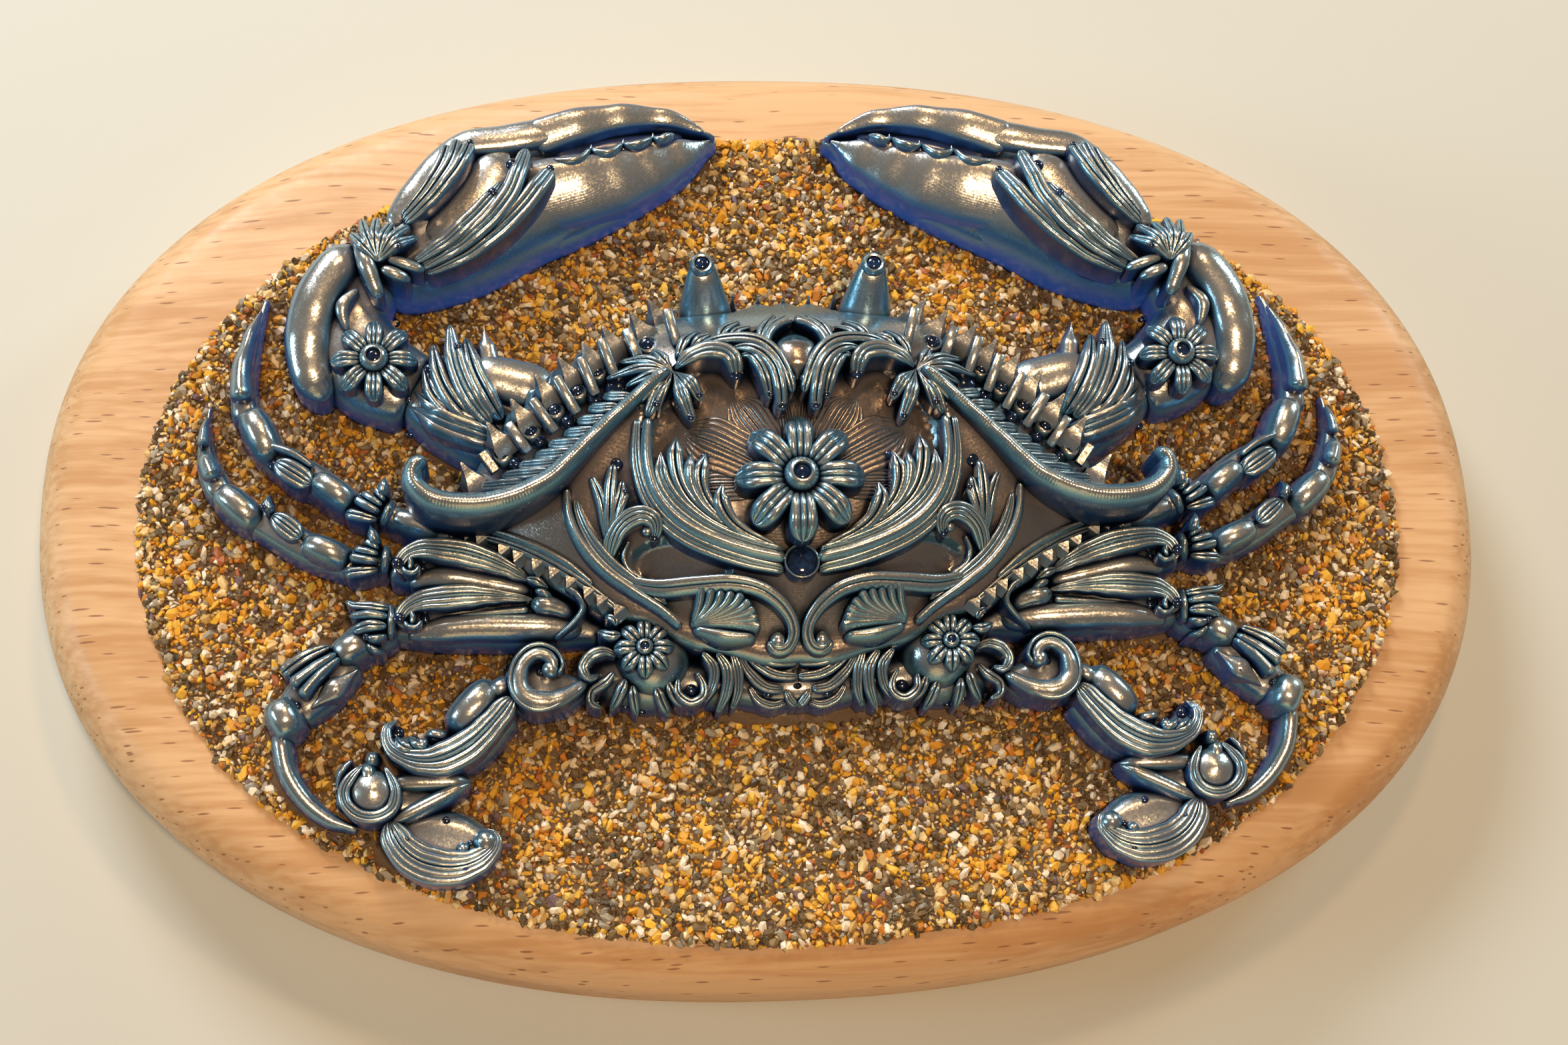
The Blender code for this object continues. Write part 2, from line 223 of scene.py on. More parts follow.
def applied(item: Object, graph: Graph, **values: object) -> Object:
    """Runs a geometry tree on an object and returns the plain mesh it makes.

    Args:
        item: The object that feeds the tree; it is removed.
        graph: The tree.
        **values: The named inputs, with underscores for spaces.

    Returns:
        A new object that holds the result.
    """
    modifier = item.modifiers.new(graph.tree.name, "NODES")
    modifier.node_group = graph.tree
    for socket in graph.tree.interface.items_tree:
        key = socket.name.replace(" ", "_")
        if socket.in_out == "INPUT" and key in values:
            modifier[socket.identifier] = values[key]
    bpy.context.view_layer.update()
    evaluated = item.evaluated_get(bpy.context.evaluated_depsgraph_get())
    mesh = bpy.data.meshes.new_from_object(evaluated)
    item.modifiers.remove(modifier)
    discard(item)
    return new_object(graph.tree.name, mesh)


def flute_tree() -> Graph:
    """Sweeps a ridged section along rails.

    Each rail point carries `across` (half of the section's width as a vector), `rise` (height of its
    crown), `flute` (height of its ridges) and `foot` (level of the walls' lower edge).

    Returns:
        The tree's graph.
    """
    graph, entry = geometry_tree(
        "flutes",
        [("Ridges", "NodeSocketInt"), ("Samples", "NodeSocketInt"), ("Material", "NodeSocketMaterial")])
    ridges = entry["Ridges"]
    count = graph.math("MULTIPLY", ridges, entry["Samples"])
    points = graph.math("ADD", count, 3.0)
    index = graph.out("GeometryNodeInputIndex")
    step = graph.math("DIVIDE", graph.math("SUBTRACT", index, 1.0), count, clamp=True)
    first = graph.math("LESS_THAN", index, 0.5)
    last = graph.math("GREATER_THAN", index, graph.math("ADD", count, 1.5))
    section = graph.out("GeometryNodeCurvePrimitiveCircle", {0: points})
    section = graph.store(section, "u", graph.math("SUBTRACT", graph.math("MULTIPLY", step, 2.0), 1.0))
    section = graph.store(section, "wall", graph.math("ADD", first, last))
    rails = graph.out("GeometryNodeMeshToCurve", {0: entry["Geometry"]})
    place = graph.out("GeometryNodeInputPosition")
    rails = graph.store(rails, "centre", place, "FLOAT_VECTOR")
    swept = graph.out("GeometryNodeCurveToMesh",
                      {"Curve": rails, "Profile Curve": section, "Fill Caps": True})
    u, wall, centre = graph.named("u"), graph.named("wall"), graph.named("centre", "FLOAT_VECTOR")
    eased = graph.math("MULTIPLY", graph.math("SIGN", u), graph.math("POWER", graph.math("ABSOLUTE", u), 0.8))
    phase = graph.math("MULTIPLY", graph.math("MULTIPLY", ridges, graph.math("ADD", eased, 1.0)), math.pi / 2)
    ridge = graph.math("POWER", graph.math("ABSOLUTE", graph.math("SINE", phase)), 0.6)
    arch = graph.math("SQRT", graph.math("SUBTRACT", 1.0, graph.math("MULTIPLY", u, u), clamp=True))
    top = graph.math("ADD", graph.math("MULTIPLY", arch, graph.named("rise")),
                     graph.math("MULTIPLY", ridge, graph.named("flute")))
    level = graph.node("ShaderNodeSeparateXYZ", {0: centre}).outputs[2]
    down = graph.math("SUBTRACT", graph.named("foot"), level)
    open_top = graph.math("SUBTRACT", 1.0, wall)
    height = graph.math("ADD", graph.math("MULTIPLY", top, open_top), graph.math("MULTIPLY", down, wall))
    sideways = graph.vector("SCALE", graph.named("across", "FLOAT_VECTOR"), u)
    flat = graph.vector("MULTIPLY", sideways, (1, 1, 0))
    bank = graph.node("ShaderNodeSeparateXYZ", {0: sideways}).outputs[2]
    height = graph.math("ADD", height, graph.math("MULTIPLY", bank, open_top))
    lifted = graph.out("ShaderNodeCombineXYZ", {2: height})
    target = graph.vector("ADD", graph.vector("ADD", centre, flat), lifted)
    moved = graph.out("GeometryNodeSetPosition", {0: swept, 2: target})
    crest = graph.math("MULTIPLY", graph.math("MULTIPLY_ADD", ridge, 0.85, 0.15), open_top)
    close_tree(graph, graph.store(moved, "crest", crest), entry["Material"])
    return graph


def stamp_tree() -> Graph:
    """Stamps a template on points that carry `turn` (an Euler rotation) and `size` (a scale).

    Returns:
        The tree's graph.
    """
    graph, entry = geometry_tree(
        "stamps", [("Template", "NodeSocketObject"), ("Material", "NodeSocketMaterial")])
    template = graph.node("GeometryNodeObjectInfo", {0: entry["Template"]}).outputs["Geometry"]
    turn = graph.out("FunctionNodeEulerToRotation", {0: graph.named("turn", "FLOAT_VECTOR")})
    stamped = graph.out("GeometryNodeInstanceOnPoints",
                        {0: entry["Geometry"], 2: template, 5: turn, 6: graph.named("size", "FLOAT_VECTOR")})
    close_tree(graph, stamped, entry["Material"])
    return graph


def sand_tree() -> Graph:
    """Scatters crushed grains over a bed, except under the casting.

    Returns:
        The tree's graph.
    """
    graph, entry = geometry_tree("grains", [
        ("Casting", "NodeSocketObject"), ("Spacing", "NodeSocketFloat"), ("Density", "NodeSocketFloat"),
        ("Smallest", "NodeSocketFloat"), ("Largest", "NodeSocketFloat"), ("From X", "NodeSocketFloat"),
        ("To X", "NodeSocketFloat"), ("Seed", "NodeSocketInt"), ("Material", "NodeSocketMaterial")])
    seed = entry["Seed"]
    scatter = graph.node("GeometryNodeDistributePointsOnFaces",
                         {0: entry["Geometry"], 2: entry["Spacing"], 3: entry["Density"], "Seed": seed},
                         distribute_method="POISSON")
    place = graph.out("GeometryNodeInputPosition")
    x = graph.out("ShaderNodeSeparateXYZ", {0: place})
    casting = graph.node("GeometryNodeObjectInfo", {0: entry["Casting"]}).outputs["Geometry"]
    below = graph.vector("SUBTRACT", place, (0, 0, 3))
    ray = graph.node("GeometryNodeRaycast", {
        "Target Geometry": casting,
        "Source Position": below,
        "Ray Direction": (0, 0, 1),
        "Ray Length": 30.0,
    })
    outside = graph.math("ADD", graph.math("LESS_THAN", x, entry["From X"]),
                         graph.math("GREATER_THAN", x, entry["To X"]))
    unwanted = graph.math("ADD", ray.outputs["Is Hit"], outside, clamp=True)
    kept = graph.out("GeometryNodeDeleteGeometry", {0: scatter.outputs[0], 1: unwanted}, domain="POINT")
    grain = graph.out("GeometryNodeMeshIcoSphere", {0: 0.5, 1: 1})
    spin = graph.out("FunctionNodeRandomValue",
                     {0: (0, 0, 0), 1: (math.tau, math.tau, math.tau), "Seed": seed},
                     data_type="FLOAT_VECTOR")
    turn = graph.out("FunctionNodeEulerToRotation", {0: spin})
    skew = graph.out("FunctionNodeRandomValue",
                     {0: (0.8, 0.5, 0.45), 1: (1.6, 1, 0.8), "Seed": graph.math("ADD", seed, 5.0)},
                     data_type="FLOAT_VECTOR")
    chance = graph.node("FunctionNodeRandomValue", {2: 0.0, 3: 1.0, "Seed": graph.math("ADD", seed, 9.0)})
    swell = graph.math("POWER", chance.outputs[1], 2.6)
    span = graph.math("SUBTRACT", entry["Largest"], entry["Smallest"])
    size = graph.math("MULTIPLY_ADD", swell, span, entry["Smallest"])
    grains = graph.out("GeometryNodeInstanceOnPoints",
                       {0: kept, 2: grain, 5: turn, 6: graph.vector("SCALE", skew, size)})
    tone = graph.node("FunctionNodeRandomValue", {2: 0.01, 3: 1.0, "Seed": graph.math("ADD", seed, 3.0)})
    drift = graph.out("ShaderNodeTexNoise", {"Scale": 0.14, "Detail": 1.0})
    drift = graph.math("MULTIPLY", graph.math("SUBTRACT", drift, 0.47), 1.3)
    tone = graph.math("MINIMUM", graph.math("MAXIMUM", graph.math("ADD", tone.outputs[1], drift), 0.01), 1.0)
    grains = graph.store(grains, "tone", tone, domain="INSTANCE")
    realized = graph.out("GeometryNodeRealizeInstances", {0: grains})
    chip = graph.node("ShaderNodeTexNoise", {"Scale": 2.3, "Detail": 1.0})
    offset = graph.vector("SCALE", graph.vector("SUBTRACT", chip.outputs["Color"], (0.5, 0.5, 0.5)), 0.45)
    crushed = graph.out("GeometryNodeSetPosition", {0: realized, 3: offset})
    close_tree(graph, crushed, entry["Material"])
    return graph


# --- Mesh helpers ---


def new_object(name: str, mesh: bpy.types.Mesh) -> Object:
    """Links a new object for a mesh.

    Args:
        name: Its name.
        mesh: Its mesh.

    Returns:
        The object.
    """
    item = bpy.data.objects.new(name, mesh)
    bpy.context.scene.collection.objects.link(item)
    return item


def discard(*items: Object) -> None:
    """Removes objects that are no longer needed."""
    for item in items:
        bpy.data.objects.remove(item, do_unlink=True)


def set_attribute(mesh: bpy.types.Mesh, name: str, kind: str, values: Iterable) -> None:
    """Writes a point attribute, given one value or vector for each vertex.

    Args:
        mesh: The mesh.
        name: The attribute's name.
        kind: Its type.
        values: Its values.
    """
    layer = mesh.attributes.new(name, kind, "POINT")
    if kind == "FLOAT":
        layer.data.foreach_set("value", list(values))
    else:
        layer.data.foreach_set("vector", [number for vector in values for number in vector])


def spline(points: Sequence[Sequence[float]], samples: int) -> list[tuple[float, ...]]:
    """Catmull-Rom values between points, with `samples` steps from each point to the next.

    Args:
        points: Points, or longer rows of numbers.
        samples: Steps between neighbours.

    Returns:
        The finer rows.
    """
    result = []
    last = len(points) - 1
    for i in range(last):
        before, start = points[max(i - 1, 0)], points[i]
        end, after = points[i + 1], points[min(i + 2, last)]
        for step in range(samples):
            t = step / samples
            result.append(tuple(
                0.5 * (2 * b + (c - a) * t + (2 * a - 5 * b + 4 * c - d) * t * t
                       + (3 * b - a - 3 * c + d) * t ** 3)
                for a, b, c, d in zip(before, start, end, after)))
    result.append(tuple(points[last]))
    return result


def blend_along(profile: Profile, t: float) -> float:
    """The value of an evenly spaced profile at t from 0 to 1.

    Args:
        profile: The evenly spaced values.
        t: The place.

    Returns:
        The value.
    """
    if len(profile) == 1:
        return profile[0]
    place = min(max(t, 0.0), 1.0) * (len(profile) - 1)
    i = min(int(place), len(profile) - 2)
    part = place - i
    part = part * part * (3.0 - 2.0 * part)
    return profile[i] + (profile[i + 1] - profile[i]) * part


def smoothstep(low: float, high: float, value: float) -> float:
    """0 below low, 1 above high and smooth between them."""
    t = min(max((value - low) / (high - low), 0.0), 1.0)
    return t * t * (3.0 - 2.0 * t)


def beside(path: Sequence[Point2], shift: float) -> list[Point2]:
    """A path that runs beside another one, to its left for a positive shift.

    Args:
        path: The other path.
        shift: The distance between them.

    Returns:
        The new path.
    """
    made = []
    for i, (x, y) in enumerate(path):
        before, after = path[max(i - 1, 0)], path[min(i + 1, len(path) - 1)]
        dx, dy = after[0] - before[0], after[1] - before[1]
        length = math.hypot(dx, dy)
        made.append((x - shift * dy / length, y + shift * dx / length))
    return made


def ring_mesh(name: str, rings: Sequence[Sequence[Vector]], ground: float = 0.0,
              polish: float = 1.0) -> Object:
    """A closed solid from rings of points, with a face across each end.

    Args:
        name: The object's name.
        rings: Rings with the same number of points.
        ground: How much the finish treats it as smooth ground rather than carving, which paints a warm
            reflection into its lustre.
        polish: How much of the lustre is rubbed on.

    Returns:
        The new object, with `crest` and `ground` attributes.
    """
    mesh = bmesh.new()
    loops = [[mesh.verts.new(point) for point in ring] for ring in rings]
    count = len(loops[0])
    for lower, upper in zip(loops, loops[1:]):
        for i in range(count):
            j = (i + 1) % count
            mesh.faces.new((lower[i], lower[j], upper[j], upper[i]))
    for loop in (loops[0], loops[-1]):
        centre = sum((vertex.co for vertex in loop), Vector()) / count
        hub = mesh.verts.new(centre)
        for i in range(count):
            mesh.faces.new((loop[i], loop[(i + 1) % count], hub))
    data = bpy.data.meshes.new(name)
    mesh.to_mesh(data)
    mesh.free()
    set_attribute(data, "crest", "FLOAT", [polish] * len(data.vertices))
    set_attribute(data, "ground", "FLOAT", [ground] * len(data.vertices))
    return new_object(name, data)


def turned(name: str, profile: Sequence[Point2], centre: Point3, steps: int,
           lean: Point2 = (0, 0)) -> Object:
    """A turned solid from a profile of (radius, height), around an axis that may lean.

    Args:
        name: The object's name.
        profile: Its radii and heights, from the foot up.
        centre: The foot's middle.
        steps: Number of steps round it.
        lean: How far the axis leans to +X and +Y for each unit up.

    Returns:
        The solid.
    """
    rings = []
    for radius, height in profile:
        hub = Vector(centre) + Vector((lean[0] * height, lean[1] * height, height))
        rings.append([hub + Vector((radius * math.cos(a), radius * math.sin(a), 0.0))
                      for a in (math.tau * i / steps for i in range(steps))])
    return ring_mesh(name, rings)


def joined(items: Sequence[Object], name: str) -> Object:
    """Joins objects into the first one and names it.

    Args:
        items: The objects.
        name: The name for the whole.

    Returns:
        The joined object.
    """
    first = items[0]
    if len(items) > 1:
        with bpy.context.temp_override(active_object=first, object=first, selected_objects=list(items),
                                       selected_editable_objects=list(items)):
            bpy.ops.object.join()
    first.name = first.data.name = name
    return first


def mirrored(item: Object, name: str) -> Object:
    """A copy of an object, mirrored across X and turned the right way out.

    Args:
        item: The object.
        name: The copy's name.

    Returns:
        The copy.
    """
    mesh = item.data.copy()
    mesh.transform(Matrix.Scale(-1.0, 4, (1, 0, 0)))
    mesh.flip_normals()
    return new_object(name, mesh)


def surface_of(item: Object) -> Ground:
    """Height of an object's top above any point, from a ray straight down.

    Args:
        item: The object.

    Returns:
        The height as a function of x and y.
    """
    tree = BVHTree.FromPolygons(
        [vertex.co for vertex in item.data.vertices], [face.vertices for face in item.data.polygons])

    def height(x: float, y: float) -> float:
        """The top's height at x, y."""
        hit = tree.ray_cast(Vector((x, y, SKY)), Vector((0, 0, -1)))[0]
        return (hit or tree.find_nearest(Vector((x, y, 0.0)))[0]).z

    return height


@dataclass
class Stroke:
    """A carved stroke: a path seen from above, swept with a ridged section.

    Attributes:
        path: Points along its middle.
        width: Full width, as a profile along its length.
        ridges: Number of ridges across it.
        heights: Height of its edges, as a profile: above the ground, or above the sand where it is fixed.
        rise: Crown height as a part of the half width.
        flute: Ridge height as a part of a ridge's width.
        depth: How far its walls go below the ground; None takes them to the sand.
        tips: How its two ends finish.
        fixed: Whether its heights are counted from the sand instead of the ground.
        bank: How far it leans with the ground's slope across it.
        tilt: Extra slope across it, up to its right.
        step: Distance between the sections.
        ribbed: Whether fine ribs run round it.
    """

    path: Sequence[Point2]
    width: Profile = (1.0,)
    ridges: int = 3
    heights: Profile = (0.1,)
    rise: float = 0.35
    flute: float = 0.5
    depth: float | None = 1.6
    tips: tuple[Tip, Tip] = (Tip.ROUND, Tip.ROUND)
    fixed: bool = False
    bank: float = 1.0
    tilt: float = 0.0
    step: float = 0.3
    ribbed: bool = False

    def rail(self, ground: Ground) -> list[tuple[Vector, Vector, float, float, float, float]]:
        """Points along the stroke with the values that the flute tree reads.

        Args:
            ground: Height of the surface that it lies on.

        Returns:
            Rows of position, half width vector, crown height, ridge height, foot level and, where it is
            ribbed, the distance along it.
        """
        fine = [Vector(point) for point in spline(self.path, 24)]
        lengths = [0.0]
        for start, end in zip(fine, fine[1:]):
            lengths.append(lengths[-1] + (end - start).length)
        total = lengths[-1]
        rows = []
        for place in self._places(total):
            t = place / total
            middle, ahead = self._at(fine, lengths, place)
            across = Vector((ahead.y, -ahead.x))
            factor = self._tip_factor(place, total)
            half = 0.5 * blend_along(self.width, t) * factor
            height = blend_along(self.heights, t)
            base = height if self.fixed else ground(middle.x, middle.y)
            slope = self.tilt
            if self.bank and half > 0.2:
                near = ground(middle.x + across.x * half, middle.y + across.y * half)
                far = ground(middle.x - across.x * half, middle.y - across.y * half)
                slope += max(-0.7, min(0.7, self.bank * (near - far) / (2.0 * half)))
            lift = (SEAT if self.fixed else height) * (0.4 + 0.6 * factor)
            foot = SAND_FOOT if self.depth is None else base - self.depth
            rows.append([Vector((middle.x, middle.y, base + lift)), half * across.to_3d(), slope * half,
                         self.rise * half, self.flute * 2.0 * half / self.ridges, foot,
                         place if self.ribbed else 0.0])
        levels = [row[0].z for row in rows]
        for i, row in enumerate(rows):
            near = levels[max(0, i - 2):i + 3]
            row[0].z = sum(near) / len(near)
            row[1].z = row[2]
        return [(row[0], row[1], row[3], row[4], min(row[5], row[0].z - 0.1), row[6]) for row in rows]

    def _places(self, total: float) -> list[float]:
        """Distances along the stroke, closer together at its ends.

        Args:
            total: The stroke's length.

        Returns:
            The distances in order.
        """
        count = max(4, math.ceil(total / self.step))
        places = {total * i / count for i in range(count + 1)}
        reach = min(0.5 * blend_along(self.width, 0.5), 0.4 * total)
        for share in (0.04, 0.15, 0.33, 0.6):
            places |= {reach * share, total - reach * share}
        ordered = sorted(places)
        return [p for i, p in enumerate(ordered) if i == 0 or p - ordered[i - 1] > 0.004]

    @staticmethod
    def _at(fine: Sequence[Vector], lengths: Sequence[float], place: float) -> tuple[Vector, Vector]:
        """The point and unit direction at a distance along the fine points.

        Args:
            fine: The fine points.
            lengths: The distance to each of them.
            place: The distance to look up.

        Returns:
            The point and the direction.
        """
        i = 1
        while i < len(lengths) - 1 and lengths[i] < place:
            i += 1
        span = max(lengths[i] - lengths[i - 1], 1e-9)
        middle = fine[i - 1].lerp(fine[i], min(max((place - lengths[i - 1]) / span, 0.0), 1.0))
        before, after = fine[max(i - 2, 0)], fine[min(i + 1, len(fine) - 1)]
        return middle, (after - before).normalized()

    def _tip_factor(self, place: float, total: float) -> float:
        """How much of the full width is left near the ends.

        Args:
            place: Distance along the stroke.
            total: Its length.

        Returns:
            The factor.
        """
        factor = 1.0
        for tip, distance in zip(self.tips, (place, total - place)):
            reach = min(0.5 * blend_along(self.width, 0.5) * (1.0 if tip is Tip.ROUND else 2.6), 0.45 * total)
            t = min(max(distance / reach, 0.0), 1.0)
            factor = min(factor, math.sqrt(max(0.0, 1.0 - (1.0 - t) ** 2)) if tip is Tip.ROUND else t ** 0.8)
        return max(factor, 0.05)


ledge = partial(Stroke, bank=0.0, fixed=True)
walled = partial(ledge, depth=None)  # its walls go down to the sand


@dataclass
class Stamp:
    """Where a template is stamped, with its Euler turn and its scale."""

    x: float
    y: float
    z: float
    turn: Point3 = (0, 0, 0)
    size: Point3 = (1, 1, 1)


# --- Finishes ---

Colour = Point3


def rgba(colour: Colour) -> tuple[float, float, float, float]:
    """A colour with full alpha."""
    return (*colour, 1.0)


def shader_group(name: str, inputs: Sequence[tuple[str, str]],
                 outputs: Sequence[tuple[str, str]]) -> tuple[Graph, Sequence[Socket]]:
    """A shader node group with named sockets, and its inputs, which are read by name.

    Args:
        name: The group's name.
        inputs: Names and socket types of its inputs.
        outputs: The same for its outputs.

    Returns:
        The graph and its inputs, which are read by name.
    """
    tree = bpy.data.node_groups.new(name, "ShaderNodeTree")
    for label, kind in inputs:
        tree.interface.new_socket(label, in_out="INPUT", socket_type=kind)
    for label, kind in outputs:
        tree.interface.new_socket(label, in_out="OUTPUT", socket_type=kind)
    graph = Graph(tree)
    return graph, graph.node("NodeGroupInput").outputs


def speckle_group() -> bpy.types.NodeTree:
    """Mottling at two scales around a middle value, from object coordinates.

    Returns:
        The group.
    """
    graph, entry = shader_group(
        "speckle", [("Scale", "NodeSocketFloat"), ("Fine", "NodeSocketFloat")], [("Mask", "NodeSocketFloat")])
    place = graph.node("ShaderNodeTexCoord").outputs["Object"]
    broad = graph.node("ShaderNodeTexNoise", {"Vector": place, "Scale": entry["Scale"], "Detail": 3.0})
    fine = graph.node("ShaderNodeTexNoise", {"Vector": place, "Scale": entry["Fine"], "Detail": 2.0})
    blend = graph.math("MULTIPLY_ADD", fine.outputs[0], 0.5, graph.math("MULTIPLY", broad.outputs[0], 0.5))
    graph.node("NodeGroupOutput", {0: blend})
    return graph.tree


def new_material(name: str) -> tuple[Material, Graph, bpy.types.Node]:
    """A new material with its graph and its shader.

    Args:
        name: Its name.

    Returns:
        The material, its graph and its shader.
    """
    material = bpy.data.materials.new(name)
    material.use_nodes = True
    return material, Graph(material.node_tree), material.node_tree.nodes["Principled BSDF"]


@dataclass(frozen=True)
class LustredResin:
    """Blue resin with a rubbed metallic lustre on what faces up, and painted light: shade in its hollows,
    warm and teal reflections in its lustre, a blue glow low down at the front.
    """

    # The resin is ink, turning to brighter cobalt near the sand: a painted glow of light coming through it.
    cobalt: Colour = (0.022, 0.065, 0.200)
    ink: Colour = (0.012, 0.040, 0.110)
    # Near-black navy in the hollows: painted shade.
    navy: Colour = (0.003, 0.007, 0.020)
    steel: Colour = (0.520, 0.490, 0.440)
    # Taupe lustre on smooth grounds: a painted warm reflection.
    taupe: Colour = (0.360, 0.280, 0.225)
    # Teal lustre on steep faces: a painted cool reflection, standing in for the window light and the lustre's
    # colour shift.
    teal: Colour = (0.170, 0.390, 0.525)
    # window_blue and the glow values make a painted glow: blue emission low down and towards the front, as if
    # window light came through the resin.
    window_blue: Colour = (0.010, 0.062, 0.310)
    hollow_reach: float = 0.0016
    mica_scale: float = 8000.0
    sparkle: float = 0.09
    glow: float = 0.42
    glow_foot: float = 0.0155
    glow_top: float = 0.0235
    layer_pitch: float = 0.00012
    rib_pitch: float = 0.28  # in millimetres, like the attribute that it divides

    def build(self, speckle: bpy.types.NodeTree) -> Material:
        """Makes the material.

        Args:
            speckle: The mottling group.

        Returns:
            The material.
        """
        material, graph, shader = new_material("lustred_resin")
        crest = graph.node("ShaderNodeAttribute", attribute_name="crest").outputs["Fac"]
        flat = graph.node("ShaderNodeAttribute", attribute_name="ground").outputs["Fac"]
        facing = graph.node("ShaderNodeNewGeometry").outputs["Normal"]
        up = graph.node("ShaderNodeSeparateXYZ", {0: facing}).outputs[2]
        top = graph.ramp(up, 0.10, 0.60)
        raised = graph.ramp(crest, 0.05, 0.75, 0.12, 1.0)
        mottle = graph.out("ShaderNodeGroup", {"Scale": 160.0, "Fine": 2600.0}, node_tree=speckle)
        cover = graph.ramp(mottle, 0.25, 0.5, 0.72, 1.0)
        hollow = graph.node("ShaderNodeAmbientOcclusion", {"Distance": self.hollow_reach}, samples=8)
        # Open air keeps the lustre out of the hollows, where the powder did not reach, and also marks where
        # shade is painted in them.
        open_air = graph.ramp(hollow.outputs["AO"], 0.30, 0.85)
        mask = graph.math("MULTIPLY", graph.math("MULTIPLY", top, raised),
                          graph.math("MULTIPLY", cover, open_air))
        place = graph.node("ShaderNodeTexCoord").outputs["Object"]
        _, y, z = graph.node("ShaderNodeSeparateXYZ", {0: place}).outputs
        # Painted glow: brighter cobalt near the sand, and emission that grows towards the front.
        painted_glow_near_sand = graph.ramp(z, self.glow_top, self.glow_foot)
        painted_front_glow = graph.ramp(y, 0.002, 0.022, 0.12, 1.0)
        body = graph.mix(painted_glow_near_sand, rgba(self.ink), rgba(self.cobalt))
        # Painted shade: the resin turns near-black navy in the hollows.
        body = graph.mix(open_air, rgba(self.navy), body)
        # Painted warm reflection: smooth grounds take taupe lustre.
        sheen = graph.mix(flat, rgba(self.steel), rgba(self.taupe))
        # Painted cool reflection: steep faces turn teal.
        sheen = graph.mix(graph.ramp(up, 0.96, 0.52), sheen, rgba(self.teal))
        flakes = graph.node("ShaderNodeTexVoronoi", {"Vector": place, "Scale": self.mica_scale})
        tilt = graph.vector("SUBTRACT", flakes.outputs["Color"], (0.5, 0.5, 0.5))
        layers = graph.math("SINE", graph.math("MULTIPLY", z, math.tau / self.layer_pitch))
        along = graph.node("ShaderNodeAttribute", attribute_name="along").outputs["Fac"]
        ribs = graph.math("SINE", graph.math("MULTIPLY", along, math.tau / self.rib_pitch))
        ribs = graph.math("MULTIPLY_ADD", ribs, 5.0, layers)
        bump = graph.out("ShaderNodeBump", {"Strength": 0.07, "Distance": 0.00002, "Height": ribs})
        glint = graph.math("MULTIPLY", mask, self.sparkle)
        normal = graph.vector("ADD", bump, graph.vector("SCALE", tilt, glint))
        # Painted glow: bare resin low down gives off blue light.
        bare = graph.math("MULTIPLY", graph.math("SUBTRACT", 1.0, mask),
                          graph.math("MULTIPLY", painted_glow_near_sand, open_air))
        painted_glow_strength = graph.math("MULTIPLY", graph.math("MULTIPLY", bare, painted_front_glow), self.glow)
        graph.feed(shader, {
            "Base Color": graph.mix(mask, body, sheen),
            "Metallic": graph.math("MULTIPLY", mask, 0.88),
            "Roughness": graph.ramp(mottle, 0.3, 0.7, 0.21, 0.29),
            "Normal": graph.vector("NORMALIZE", normal),
            "Emission Color": rgba(self.window_blue),
            "Emission Strength": painted_glow_strength,
            "Coat Weight": 0.25,
            "Coat Roughness": 0.12,
            "Specular IOR Level": 0.6,
        })
        return material


@dataclass(frozen=True)
class BubbleGloss:
    """Near-black glossy resin in the small hollows: the bare resin darkened with painted shade."""

    colour: Colour = (0.004, 0.009, 0.028)

    def build(self, speckle: bpy.types.NodeTree) -> Material:
        """Makes the material, a little mottled by the speckle group.

        Args:
            speckle: The mottling group.

        Returns:
            The material.
        """
        material, graph, shader = new_material("bubble_gloss")
        mottle = graph.out("ShaderNodeGroup", {"Scale": 700.0, "Fine": 2600.0}, node_tree=speckle)
        glow = graph.mix(graph.ramp(mottle, 0.45, 0.65), rgba(self.colour), (0.01, 0.03, 0.09, 1))
        graph.feed(shader, {"Base Color": glow, "Roughness": 0.08, "Coat Weight": 0.6})
        return material


